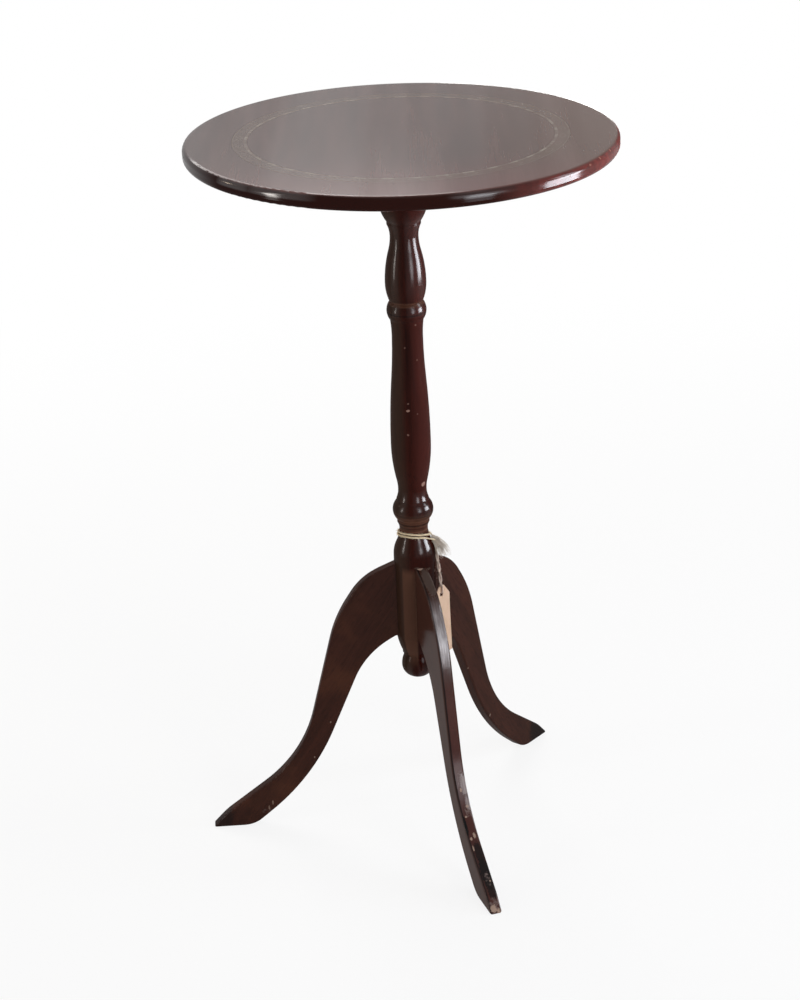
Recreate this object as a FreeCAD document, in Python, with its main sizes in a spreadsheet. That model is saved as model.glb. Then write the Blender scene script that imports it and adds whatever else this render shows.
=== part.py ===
import FreeCAD, Part
import math
import os

import Sketcher
from FreeCAD import Placement, Rotation, Vector

# Wine table: a round top on a turned column with three flat S-shaped legs.
# Millimetres and degrees. The origin is on the floor under the column, +Z is up
# and the front leg points along -Y. Angles run anticlockwise from +X, seen from above.

driving = {
    # Top, inlay and the cleat that carries the top
    "top_diameter": 305,
    "top_thickness": 10.4,
    "top_edge_rounding": 3.6,
    "banding_diameter": 236,
    "banding_width": 11,
    "banding_depth": 1.2,
    "cleat_diameter": 90,
    "cleat_thickness": 14,
    "cleat_edge_rounding": 5,
    "spigot_diameter": 16,
    "spigot_end_gap": 0.3,
    "glue_line": 0.1,
    # Cleat screws
    "screw_count": 4,
    "screw_circle": 66,
    "screw_length": 20,
    "screw_shank_diameter": 3.5,
    "screw_head_diameter": 7,
    "screw_head_height": 2,
    "screw_tip_length": 5,
    "screw_slot_width": 0.9,
    "screw_slot_depth": 0.9,
    "pilot_end_gap": 0.4,
    # Column, from its foot upwards
    "column_base_height": 154.5,
    "block_diameter": 30.4,
    "block_height": 58.7,
    "shoulder_diameter": 31.1,
    "shoulder_height": 6.3,
    "shoulder_curve": 21,
    "string_neck_diameter": 21,
    "string_neck_cove": 5.2,
    "lower_fillet_diameter": 24,
    "lower_fillet_height": 2.5,
    "lower_bead_diameter": 30.1,
    "lower_bead_height": 14.6,
    "lower_ring_height": 1.2,
    "lower_cove": 7.5,
    "lower_neck_diameter": 21,
    "lower_vase_diameter": 29.4,
    "lower_vase_rise": 36.5,
    "shaft_length": 83,
    "waist_diameter": 22.5,
    "waist_cove": 12,
    "upper_fillet_diameter": 24.2,
    "upper_bead_diameter": 28.8,
    "upper_bead_height": 13.8,
    "upper_vase_diameter": 29.7,
    "upper_vase_foot": 13.7,
    "upper_vase_rise": 34.5,
    "upper_neck_diameter": 20.4,
    "upper_cove": 9,
    "cup_fillet_diameter": 24.6,
    "cup_fillet_height": 2,
    "cup_height": 18,
    "collar_diameter": 36,
    "collar_height": 19.1,
    # Share of a curve's length that is hollow, next to its neck
    "shoulder_hollow": 0.5,
    "lower_vase_hollow": 0.2,
    "shaft_hollow": 0.38,
    "upper_vase_hollow": 0.3,
    # Pendant and its dowel
    "pendant_taper": 13.8,
    "pendant_taper_radius": 46,
    "pendant_fillet_diameter": 22.4,
    "pendant_fillet_height": 1.5,
    "pendant_neck_diameter": 20,
    "pendant_neck_height": 2,
    "bun_diameter": 24.2,
    "bun_rise": 8.7,
    "bun_drop": 9.6,
    "dowel_diameter": 8,
    "dowel_length": 40,
    "dowel_chamfer": 0.8,
    "dowel_end_gap": 0.3,
    # Legs: runs are level, drops are downwards, and set-backs round the corners
    "leg_thickness": 9,
    "leg_edge_rounding": 1.5,
    "front_leg_angle": 270,
    "right_leg_angle": 33.6,
    "left_leg_angle": 165.3,
    "dovetail_neck_width": 6,
    "dovetail_tip_width": 8,
    "dovetail_depth": 6,
    "leg_reach": 162,
    "foot_length": 32,
    "heel_setback": 8,
    "toe_setback": 2,
    "toe_run": 11.1,
    "toe_height": 11.7,
    "toe_brow_setback": 5,
    "brow_run": 25.3,
    "brow_drop": 10.9,
    "brow_setback": 15,
    "knee_run": 21,
    "knee_drop": 32.3,
    "knee_setback": 17,
    "ankle_back": 72,
    "ankle_height": 56.8,
    "ankle_setback": 37,
    "arch_run": 24.2,
    "arch_drop": 14,
    "arch_setback": 22,
    "instep_back": 79.1,
    "instep_height": 38.8,
    "instep_setback": 42,
    # Twine and tag
    "string_diameter": 1.2,
    "string_clearance": 0.25,
    "winding_turns": 2,
    "winding_top": 3.4,
    "winding_pitch": 2.9,
    "winding_tilt": 2.6,
    "winding_low_angle": 71,
    "knot_angle": 341.7,
    "knot_width": 6,
    "knot_height": 9,
    "knot_rise": 7.2,
    "knot_nest": 0.6,
    "drop_length": 41.7,
    "tag_reach": 19,
    "tag_turn": 53,
    "tag_width": 20,
    "tag_length": 55.3,
    "tag_thickness": 0.6,
    "tag_hole_diameter": 4,
    "tag_hole_inset": 6.5,
    "tag_corner_run": 7,
    "tag_corner_drop": 8.6,
}

cut_margin = 1.0  # how far a cutting outline runs past the wood that it cuts

doc = FreeCAD.newDocument("WineTable")
sheet = doc.addObject("Spreadsheet::Sheet", "Sizes")
for row, (alias, number) in enumerate(driving.items(), start=1):
    sheet.set(f"A{row}", alias)
    sheet.set(f"B{row}", str(number))
    sheet.setAlias(f"B{row}", alias)
doc.recompute()


class Size:
    # One size, as text that a sketch can be bound to and as a number to draw it with first.
    def __init__(self, text, number):
        self.text = text
        self.number = number

    def __add__(self, other):
        other = as_size(other)
        return Size(f"({self.text} + {other.text})", self.number + other.number)

    def __sub__(self, other):
        other = as_size(other)
        return Size(f"({self.text} - {other.text})", self.number - other.number)

    def __mul__(self, other):
        other = as_size(other)
        return Size(f"({self.text} * {other.text})", self.number * other.number)

    def __truediv__(self, other):
        other = as_size(other)
        return Size(f"({self.text} / {other.text})", self.number / other.number)

    def __neg__(self):
        return Size(f"(-1 * {self.text})", -self.number)


def as_size(value):
    return value if isinstance(value, Size) else Size(str(value), value)


def size(alias):
    return Size(f"Sizes.{alias}", driving[alias])


def radius_of(alias):
    return size(alias) / 2


def root(value):
    return Size(f"sqrt({value.text})", math.sqrt(value.number))


def swung(reach, angle):
    # Where a level reach ends when it is swung round the column to an angle.
    turn = math.radians(angle.number)
    across = Size(f"({reach.text} * cos({angle.text}))", reach.number * math.cos(turn))
    along = Size(f"({reach.text} * sin({angle.text}))", reach.number * math.sin(turn))
    return across, along


zero = as_size(0)
glue = size("glue_line")


# Sketch helpers

def origin_plane(body, role):
    for feature in body.Origin.OriginFeatures:
        if feature.Role == role:
            return feature
    raise ValueError(f"{body.Label} has no {role}")


def new_body(name):
    body = doc.addObject("PartDesign::Body", name)
    body.Label = name
    return body


def new_sketch(body, name, role):
    sketch = body.newObject("Sketcher::SketchObject", name)
    sketch.AttachmentSupport = (origin_plane(body, role), [""])
    sketch.MapMode = "FlatFace"
    return sketch


def bind(sketch, constraint, value):
    index = sketch.addConstraint(constraint)
    sketch.setExpression(f"Constraints[{index}]", value.text)


def pin(sketch, geometry, end, x, y):
    # Holds one sketch point at its sizes from the sketch's origin.
    for kind, axis, offset in (("DistanceX", -2, x), ("DistanceY", -1, y)):
        if offset is zero:
            sketch.addConstraint(Sketcher.Constraint("PointOnObject", geometry, end, axis))
        else:
            bind(sketch, Sketcher.Constraint(kind, -1, 1, geometry, end, offset.number), offset)


def arc_between(start, end, radius, turn):
    # The shorter arc from start to end: turn is 1 for anticlockwise and -1 for clockwise.
    chord = end - start
    height = math.sqrt(radius ** 2 - (chord.Length / 2) ** 2)
    left = Vector(-chord.y, chord.x, 0).normalize()
    centre = (start + end) / 2 + left * (height * turn)
    first, last = (start, end) if turn > 0 else (end, start)
    angles = [math.atan2(point.y - centre.y, point.x - centre.x) for point in (first, last)]
    if angles[1] < angles[0]:
        angles[1] += 2 * math.pi
    return Part.ArcOfCircle(Part.Circle(centre, Vector(0, 0, 1), radius), *angles)


def draw(sketch, corners):
    # Closed outline. A corner is (x, y), or (x, y, radius, turn) where an arc leads to the next.
    points = [Vector(corner[0].number, corner[1].number, 0) for corner in corners]
    ends = []
    for index, corner in enumerate(corners):
        start, end = points[index], points[(index + 1) % len(points)]
        if len(corner) == 2:
            ends.append((sketch.addGeometry(Part.LineSegment(start, end)), 1, 2))
        else:
            radius, turn = corner[2:]
            geometry = sketch.addGeometry(arc_between(start, end, radius.number, turn))
            ends.append((geometry, 1, 2) if turn > 0 else (geometry, 2, 1))
    for index, corner in enumerate(corners):
        before, here = ends[index - 1], ends[index]
        sketch.addConstraint(Sketcher.Constraint("Coincident", before[0], before[2], here[0], here[1]))
        pin(sketch, here[0], here[1], corner[0], corner[1])
        if len(corner) == 4:
            bind(sketch, Sketcher.Constraint("Radius", here[0], corner[2].number), corner[2])


def draw_rounded(sketch, corners):
    # Closed outline of straight runs. A corner is (x, y), or (x, y, setback) where it is rounded.
    points = [Vector(corner[0].number, corner[1].number, 0) for corner in corners]
    count = len(points)
    tangents = []
    for index, corner in enumerate(corners):
        setback = corner[2].number if len(corner) == 3 else 0
        back = (points[index - 1] - points[index]).normalize()
        ahead = (points[(index + 1) % count] - points[index]).normalize()
        tangents.append((points[index] + back * setback, points[index] + ahead * setback))
    lines = []
    for index in range(count):
        line = Part.LineSegment(tangents[index][1], tangents[(index + 1) % count][0])
        lines.append(sketch.addGeometry(line))
    for index, corner in enumerate(corners):
        before, after = lines[index - 1], lines[index]
        if len(corner) == 2:
            sketch.addConstraint(Sketcher.Constraint("Coincident", before, 2, after, 1))
            pin(sketch, after, 1, corner[0], corner[1])
            continue
        back = (points[index - 1] - points[index]).normalize()
        ahead = (points[(index + 1) % count] - points[index]).normalize()
        turn = 1 if (back * -1).cross(ahead).z > 0 else -1
        half_turn = (math.pi - back.getAngle(ahead)) / 2
        radius = corner[2].number / math.tan(half_turn)
        arc = sketch.addGeometry(arc_between(*tangents[index], radius, turn))
        first, last = (1, 2) if turn > 0 else (2, 1)
        point = sketch.addGeometry(Part.Point(points[index]), True)
        pin(sketch, point, 1, corner[0], corner[1])
        sketch.addConstraint(Sketcher.Constraint("Tangent", before, 2, arc, first))
        sketch.addConstraint(Sketcher.Constraint("Tangent", arc, last, after, 1))
        sketch.addConstraint(Sketcher.Constraint("PointOnObject", point, 1, before))
        sketch.addConstraint(Sketcher.Constraint("PointOnObject", point, 1, after))
        bind(sketch, Sketcher.Constraint("Distance", point, 1, arc, first, corner[2].number), corner[2])


def circle(sketch, x, y, radius):
    geometry = sketch.addGeometry(Part.Circle(Vector(x.number, y.number, 0), Vector(0, 0, 1), radius.number))
    pin(sketch, geometry, 3, x, y)
    bind(sketch, Sketcher.Constraint("Radius", geometry, radius.number), radius)


def turning_axis(sketch, x, length):
    # An upright construction line, for pieces turned about a line beside the body's own axis.
    line = Part.LineSegment(Vector(x.number, 0, 0), Vector(x.number, length.number, 0))
    geometry = sketch.addGeometry(line, True)
    pin(sketch, geometry, 1, x, zero)
    pin(sketch, geometry, 2, x, length)


def turned(body, sketch, name, axis="V_Axis", kind="PartDesign::Revolution"):
    feature = body.newObject(kind, name)
    feature.Profile = sketch
    feature.ReferenceAxis = (sketch, [axis])
    feature.Angle = 360
    return feature


def pocket(body, sketch, name, length=None, upwards=False):
    # A cut from the sketch's plane, to a length or right through, that has to take wood away.
    doc.recompute()
    before = body.Shape.Volume
    feature = body.newObject("PartDesign::Pocket", name)
    feature.Profile = sketch
    feature.Reversed = upwards
    if length is None:
        feature.Type = "ThroughAll"
    else:
        feature.setExpression("Length", length.text)
    doc.recompute()
    if body.Shape.Volume > before - 1:
        raise ValueError(f"{name} cuts nothing from {body.Label}")
    return feature


def polar(body, name, count, feature=None):
    # Repeats one feature, or the whole piece, round the body's axis.
    pattern = body.newObject("PartDesign::PolarPattern", name)
    if feature is None:
        pattern.TransformMode = "Whole shape"
    else:
        pattern.Originals = [feature]
    pattern.Axis = (origin_plane(body, "Z_Axis"), [""])
    pattern.Angle = 360
    pattern.setExpression("Occurrences", count.text)
    body.Tip = pattern


def place(piece, height, angle=zero, across=zero, along=zero):
    if angle is not zero:
        piece.Placement = Placement(Vector(), Rotation(Vector(0, 0, 1), angle.number))
        piece.setExpression("Placement.Rotation.Angle", angle.text)
    for axis, offset in (("x", across), ("y", along), ("z", height)):
        if offset is not zero:
            piece.setExpression(f"Placement.Base.{axis}", offset.text)


def level_radius(width, height):
    # Radius of an arc over width and height that runs straight along the height at one end.
    return (width * width + height * height) / (width * 2)


def bead_radius(swell, height):
    return level_radius(swell, height / 2)


# Sizes that follow from the driving ones

block_radius = radius_of("block_diameter")
base_height = size("column_base_height")
column_steps = (
    "block_height", "shoulder_height", "shoulder_curve", "string_neck_cove", "lower_fillet_height",
    "lower_bead_height", "lower_ring_height", "lower_cove", "lower_vase_rise", "shaft_length",
    "waist_cove", "upper_bead_height", "upper_vase_foot", "upper_vase_rise", "upper_cove",
    "cup_fillet_height", "cup_height", "collar_height",
)
column_length = zero
for step in column_steps:
    column_length = column_length + size(step)
cleat_height = base_height + column_length
panel_height = cleat_height + size("cleat_thickness")
table_height = panel_height + size("top_thickness")


# Top board, with the groove for the inlay and blind pilot holes for the screws

def make_top_panel():
    body = new_body("top_panel")
    rim = radius_of("top_diameter")
    edge = size("top_edge_rounding")
    thickness = size("top_thickness")
    groove_outer = radius_of("banding_diameter") + glue
    groove_inner = radius_of("banding_diameter") - size("banding_width") - glue
    groove_floor = thickness - size("banding_depth")
    profile = new_sketch(body, "top_profile", "XZ_Plane")
    draw(profile, [
        (zero, zero),
        (rim - edge, zero, edge, 1),
        (rim, edge),
        (rim, thickness - edge, edge, 1),
        (rim - edge, thickness),
        (groove_outer, thickness),
        (groove_outer, groove_floor),
        (groove_inner, groove_floor),
        (groove_inner, thickness),
        (zero, thickness),
    ])
    turned(body, profile, "top_disc")
    pilot = new_sketch(body, "pilot_hole_outline", "XY_Plane")
    circle(pilot, size("screw_circle") / 2, zero, radius_of("screw_shank_diameter") + glue)
    depth = size("screw_length") - size("cleat_thickness") + size("pilot_end_gap")
    hole = pocket(body, pilot, "pilot_hole", depth, upwards=True)
    polar(body, "pilot_holes", size("screw_count"), hole)
    place(body, panel_height)
    return body


def make_inlay_banding():
    body = new_body("inlay_banding")
    outer = radius_of("banding_diameter")
    inner = outer - size("banding_width")
    depth = size("banding_depth")
    profile = new_sketch(body, "banding_profile", "XZ_Plane")
    draw(profile, [(inner, zero), (outer, zero), (outer, depth), (inner, depth)])
    turned(body, profile, "banding_ring")
    place(body, table_height - depth)
    return body


# Cleat under the top, bored for the column's spigot and countersunk for its screws

def make_top_cleat():
    body = new_body("top_cleat")
    rim = radius_of("cleat_diameter")
    bore = radius_of("spigot_diameter") + glue
    thickness = size("cleat_thickness")
    edge = size("cleat_edge_rounding")
    profile = new_sketch(body, "cleat_profile", "XZ_Plane")
    draw(profile, [
        (bore, zero),
        (rim - edge, zero, edge, 1),
        (rim, edge),
        (rim, thickness),
        (bore, thickness),
    ])
    turned(body, profile, "cleat_disc")
    middle = size("screw_circle") / 2
    shank = radius_of("screw_shank_diameter") + glue
    head = radius_of("screw_head_diameter") + glue
    hole = new_sketch(body, "screw_hole_profile", "XZ_Plane")
    draw(hole, [
        (middle, zero),
        (middle + head, zero),
        (middle + shank, size("screw_head_height")),
        (middle + shank, thickness),
        (middle, thickness),
    ])
    turning_axis(hole, middle, thickness)
    groove = turned(body, hole, "screw_hole", "Axis0", "PartDesign::Groove")
    polar(body, "screw_holes", size("screw_count"), groove)
    place(body, cleat_height)
    return body


def make_cleat_screws():
    body = new_body("cleat_screws")
    middle = size("screw_circle") / 2
    shank = radius_of("screw_shank_diameter")
    head = radius_of("screw_head_diameter")
    length = size("screw_length")
    profile = new_sketch(body, "screw_profile", "XZ_Plane")
    draw(profile, [
        (middle, zero),
        (middle + head, zero),
        (middle + shank, size("screw_head_height")),
        (middle + shank, length - size("screw_tip_length")),
        (middle, length),
    ])
    turning_axis(profile, middle, length)
    turned(body, profile, "screw", "Axis0")
    slot = new_sketch(body, "screw_slot_outline", "XY_Plane")
    half = size("screw_slot_width") / 2
    near = middle - head - cut_margin
    far = middle + head + cut_margin
    draw(slot, [(near, -half), (far, -half), (far, half), (near, half)])
    pocket(body, slot, "screw_slot", size("screw_slot_depth"), upwards=True)
    polar(body, "screws", size("screw_count"))
    place(body, cleat_height)
    return body


# Turned column. An ogee is a hollow arc next to the neck that runs on into a swelling arc.

def ogee(neck, neck_height, belly, belly_height, hollow):
    swell = belly - neck
    rise = belly_height - neck_height
    whole = level_radius(swell, rise)
    middle = (neck + swell * hollow, neck_height + rise * hollow)
    return middle, whole * hollow, whole * (as_size(1) - hollow)


def make_column():
    body = new_body("column")
    level = {}
    height = zero
    for step in column_steps:
        height = height + size(step)
        level[step] = height
    spigot = radius_of("spigot_diameter")
    shoulder = radius_of("shoulder_diameter")
    string_neck = radius_of("string_neck_diameter")
    lower_fillet = radius_of("lower_fillet_diameter")
    lower_bead = radius_of("lower_bead_diameter")
    lower_neck = radius_of("lower_neck_diameter")
    lower_vase = radius_of("lower_vase_diameter")
    waist = radius_of("waist_diameter")
    upper_fillet = radius_of("upper_fillet_diameter")
    upper_bead = radius_of("upper_bead_diameter")
    upper_vase = radius_of("upper_vase_diameter")
    upper_neck = radius_of("upper_neck_diameter")
    cup_fillet = radius_of("cup_fillet_diameter")
    collar = radius_of("collar_diameter")

    shoulder_turn, shoulder_hollow, shoulder_swell = ogee(
        string_neck, level["shoulder_curve"], shoulder, level["shoulder_height"], size("shoulder_hollow"))
    lower_turn, lower_hollow, lower_swell = ogee(
        lower_neck, level["lower_cove"], lower_vase, level["lower_vase_rise"], size("lower_vase_hollow"))
    shaft_turn, shaft_hollow, shaft_swell = ogee(
        waist, level["shaft_length"], lower_vase, level["lower_vase_rise"], size("shaft_hollow"))
    upper_turn, upper_hollow, upper_swell = ogee(
        upper_neck, level["upper_vase_rise"], upper_vase, level["upper_vase_foot"], size("upper_vase_hollow"))

    string_cove = level_radius(lower_fillet - string_neck, size("string_neck_cove"))
    lower_round = bead_radius(lower_bead - lower_fillet, size("lower_bead_height"))
    lower_cove = level_radius(lower_fillet - lower_neck, size("lower_cove"))
    waist_cove = level_radius(upper_fillet - waist, size("waist_cove"))
    upper_round = bead_radius(upper_bead - upper_fillet, size("upper_bead_height"))
    upper_foot = level_radius(upper_vase - upper_fillet, size("upper_vase_foot"))
    upper_cove = level_radius(cup_fillet - upper_neck, size("upper_cove"))
    cup_round = level_radius(collar - cup_fillet, size("cup_height"))
    spigot_top = level["collar_height"] + size("cleat_thickness") - size("spigot_end_gap")

    profile = new_sketch(body, "column_profile", "XZ_Plane")
    draw(profile, [
        (zero, zero),
        (block_radius, zero),
        (block_radius, level["block_height"]),
        (shoulder, level["block_height"]),
        (shoulder, level["shoulder_height"], shoulder_swell, 1),
        (*shoulder_turn, shoulder_hollow, -1),
        (string_neck, level["shoulder_curve"], string_cove, -1),
        (lower_fillet, level["string_neck_cove"]),
        (lower_fillet, level["lower_fillet_height"], lower_round, 1),
        (lower_fillet, level["lower_bead_height"]),
        (lower_fillet, level["lower_ring_height"], lower_cove, -1),
        (lower_neck, level["lower_cove"], lower_hollow, -1),
        (*lower_turn, lower_swell, 1),
        (lower_vase, level["lower_vase_rise"], shaft_swell, 1),
        (*shaft_turn, shaft_hollow, -1),
        (waist, level["shaft_length"], waist_cove, -1),
        (upper_fillet, level["waist_cove"], upper_round, 1),
        (upper_fillet, level["upper_bead_height"], upper_foot, 1),
        (upper_vase, level["upper_vase_foot"], upper_swell, 1),
        (*upper_turn, upper_hollow, -1),
        (upper_neck, level["upper_vase_rise"], upper_cove, -1),
        (cup_fillet, level["upper_cove"]),
        (cup_fillet, level["cup_fillet_height"], cup_round, 1),
        (collar, level["cup_height"]),
        (collar, level["collar_height"]),
        (spigot, level["collar_height"]),
        (spigot, spigot_top),
        (zero, spigot_top),
    ])
    turned(body, profile, "column_turning")

    bore = new_sketch(body, "dowel_bore_outline", "XY_Plane")
    circle(bore, zero, zero, radius_of("dowel_diameter") + glue)
    pocket(body, bore, "dowel_bore", size("dowel_length") / 2 + size("dowel_end_gap"), upwards=True)

    neck = radius_of("dovetail_neck_width") + glue
    floor = radius_of("dovetail_tip_width") + glue
    depth = size("dovetail_depth")
    mouth = neck - (floor - neck) * cut_margin / depth
    for side in ("front", "right", "left"):
        angle = size(f"{side}_leg_angle")
        slot = new_sketch(body, f"{side}_slot_outline", "XY_Plane")
        slot.AttachmentOffset = Placement(Vector(), Rotation(Vector(0, 0, 1), angle.number))
        slot.setExpression("AttachmentOffset.Rotation.Angle", angle.text)
        draw(slot, [
            (block_radius - depth, -floor),
            (block_radius + cut_margin, -mouth),
            (block_radius + cut_margin, mouth),
            (block_radius - depth, floor),
        ])
        pocket(body, slot, f"{side}_slot", size("block_height"), upwards=True)
    place(body, base_height)
    return body


# Sawn leg along +X, with a dovetail tongue and shoulders scribed to the round block

def make_leg(side):
    body = new_body(f"leg_{side}")
    foot = base_height
    top = base_height + size("block_height") - glue
    tip = block_radius - size("dovetail_depth") + glue
    toe = size("leg_reach")
    brow = (block_radius + size("brow_run"), top - size("brow_drop"))
    arch = (block_radius + size("arch_run"), foot - size("arch_drop"))
    outline = new_sketch(body, f"leg_{side}_outline", "XZ_Plane")
    draw_rounded(outline, [
        (tip, foot),
        (block_radius, foot),
        (*arch, size("arch_setback")),
        (toe - size("instep_back"), size("instep_height"), size("instep_setback")),
        (toe - size("foot_length"), zero, size("heel_setback")),
        (toe, zero, size("toe_setback")),
        (toe - size("toe_run"), size("toe_height"), size("toe_brow_setback")),
        (toe - size("ankle_back"), size("ankle_height"), size("ankle_setback")),
        (brow[0] + size("knee_run"), brow[1] - size("knee_drop"), size("knee_setback")),
        (*brow, size("brow_setback")),
        (block_radius, top),
        (tip, top),
    ])
    board = body.newObject("PartDesign::Pad", f"leg_{side}_board")
    board.Profile = outline
    board.SideType = "Symmetric"
    board.setExpression("Length", size("leg_thickness").text)

    scribe = block_radius + glue
    neck = radius_of("dovetail_neck_width")
    wide = radius_of("dovetail_tip_width")
    clear = size("leg_thickness") / 2 + cut_margin
    behind = tip - cut_margin
    neck_reach = root(scribe * scribe - neck * neck)
    clear_reach = root(scribe * scribe - clear * clear)
    cheeks = new_sketch(body, f"leg_{side}_cheeks", "XY_Plane")
    draw(cheeks, [
        (behind, wide),
        (tip, wide),
        (neck_reach, neck, scribe, 1),
        (clear_reach, clear),
        (behind, clear),
    ])
    draw(cheeks, [
        (behind, -wide),
        (tip, -wide),
        (neck_reach, -neck, scribe, -1),
        (clear_reach, -clear),
        (behind, -clear),
    ])
    cut = pocket(body, cheeks, f"leg_{side}_tongue", upwards=True)

    rounding = body.newObject("PartDesign::Fillet", f"leg_{side}_edges")
    rounding.Base = (cut, long_edges(cut.Shape))
    rounding.setExpression("Radius", size("leg_edge_rounding").text)
    place(body, zero, size(f"{side}_leg_angle"))
    return body


def long_edges(shape):
    # Edges of the leg's two faces, outside the block.
    half = driving["leg_thickness"] / 2
    names = []
    for number, edge in enumerate(shape.Edges, start=1):
        ends = [vertex.Point for vertex in edge.Vertexes]
        on_face = all(abs(abs(point.y) - half) < 0.01 for point in ends)
        along = abs(ends[0].y - ends[-1].y) < 0.01
        outside = max(point.x for point in ends) > block_radius.number + cut_margin
        if on_face and along and outside:
            names.append(f"Edge{number}")
    return names


# Turned drop under the column, which closes the slots

def make_pendant():
    body = new_body("pendant")
    fillet = radius_of("pendant_fillet_diameter")
    neck = radius_of("pendant_neck_diameter")
    bun = radius_of("bun_diameter")
    taper_end = -size("pendant_taper")
    fillet_end = taper_end - size("pendant_fillet_height")
    neck_end = fillet_end - size("pendant_neck_height")
    belly = neck_end - size("bun_rise")
    bottom = belly - size("bun_drop")
    profile = new_sketch(body, "pendant_profile", "XZ_Plane")
    draw(profile, [
        (zero, zero),
        (block_radius, zero, size("pendant_taper_radius"), -1),
        (fillet, taper_end),
        (fillet, fillet_end),
        (neck, fillet_end),
        (neck, neck_end, level_radius(bun - neck, size("bun_rise")), -1),
        (bun, belly, size("bun_drop"), -1),
        (bun - size("bun_drop"), bottom),
        (zero, bottom),
    ])
    turned(body, profile, "pendant_turning")
    bore = new_sketch(body, "pendant_bore_outline", "XY_Plane")
    circle(bore, zero, zero, radius_of("dowel_diameter") + glue)
    pocket(body, bore, "pendant_bore", size("dowel_length") / 2 + size("dowel_end_gap"))
    place(body, base_height)
    return body


def make_pendant_dowel():
    body = new_body("pendant_dowel")
    radius = radius_of("dowel_diameter")
    half = size("dowel_length") / 2
    chamfer = size("dowel_chamfer")
    profile = new_sketch(body, "dowel_profile", "XZ_Plane")
    draw(profile, [
        (zero, -half),
        (radius - chamfer, -half),
        (radius, chamfer - half),
        (radius, half - chamfer),
        (radius - chamfer, half),
        (zero, half),
    ])
    turned(body, profile, "dowel_pin")
    place(body, base_height)
    return body


# Twine: tubes along arcs and straight runs

def arc_edge(start, direction, end):
    # The arc that leaves start along direction and reaches end, or a straight edge.
    chord = end - start
    along = Vector(chord).normalize()
    across = direction - along * direction.dot(along)
    if across.Length < 1e-6:
        return Part.LineSegment(start, end).toShape()
    bend = direction.getAngle(along)
    middle = (start + end) / 2 + across.normalize() * (chord.Length / 2 * math.tan(bend / 2))
    return Part.Arc(start, middle, end).toShape()


def biarc(start, leaving, end, arriving):
    # Two tangent arcs between two points, with the directions at both ends given.
    span = end - start
    both = leaving + arriving
    bend = 2 * (1 - leaving.dot(arriving))
    if bend < 1e-9:
        reach = span.dot(span) / (4 * span.dot(leaving))
    else:
        run = span.dot(both)
        reach = (math.sqrt(run * run + bend * span.dot(span)) - run) / bend
    middle = (start + leaving * reach + end - arriving * reach) / 2
    return [arc_edge(start, leaving, middle), arc_edge(end, arriving * -1, middle)]


def tube(edges, diameter):
    # A round cord along joined edges, and the line that it follows.
    wire = Part.Wire(Part.__sortEdges__(edges))
    start = wire.OrderedVertexes[0].Point
    first = wire.OrderedEdges[0]
    forwards = first.valueAt(first.FirstParameter).isEqual(start, 1e-6)
    begin = first.FirstParameter if forwards else first.LastParameter
    ring = Part.Wire([Part.Circle(start, first.tangentAt(begin), diameter / 2).toShape()])
    shell = Part.BRepOffsetAPI.MakePipeShell(wire)
    shell.add(ring)
    shell.build()
    shell.makeSolid()
    solid = shell.shape()
    expected = math.pi * diameter ** 2 / 4 * wire.Length
    print(f"  tube length {wire.Length:.1f}, volume {solid.Volume:.2f}, section times length {expected:.2f}")
    return solid, wire


def least_gap(wire, diameter, skip):
    # Smallest clear distance between stretches of one tube that lie more than skip apart along it.
    count = 400
    points = wire.discretize(Number=count)
    apart = int(skip / wire.Length * count) + 1
    gaps = [
        (points[first] - points[second]).Length
        for first in range(count)
        for second in range(first + apart, count)
    ]
    return min(gaps) - diameter


def routed(points, diameter):
    # Straight runs joined by tangent arcs, each arc as large as its two runs allow.
    edges = []
    here = points[0]
    for before, corner, after in zip(points, points[1:], points[2:]):
        back, ahead = before - corner, after - corner
        half_turn = (math.pi - back.getAngle(ahead)) / 2
        setback = 0.45 * min(back.Length, ahead.Length)
        print(f"  turn {math.degrees(2 * half_turn):.0f}, radius {setback / math.tan(half_turn):.1f}")
        enter = corner + back.normalize() * setback
        leave = corner + ahead.normalize() * setback
        edges.append(Part.LineSegment(here, enter).toShape())
        edges.append(arc_edge(enter, Vector(back) * -1, leave))
        here = leave
    edges.append(Part.LineSegment(here, points[-1]).toShape())
    return tube(edges, diameter)


def new_cord(name, shape):
    piece = doc.addObject("Part::Feature", name)
    piece.Label = name
    piece.Shape = shape
    return piece


knot_angle = size("knot_angle")
knot_reach = radius_of("shoulder_diameter") + radius_of("knot_width") - size("knot_nest")
knot_height = base_height + size("block_height") + size("shoulder_height") + size("knot_rise")
tag_angle = knot_angle + size("tag_turn")
tag_hole_height = knot_height - size("drop_length")


# Twine wound round the column's lower neck, both ends running out to the knot along +X

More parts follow.
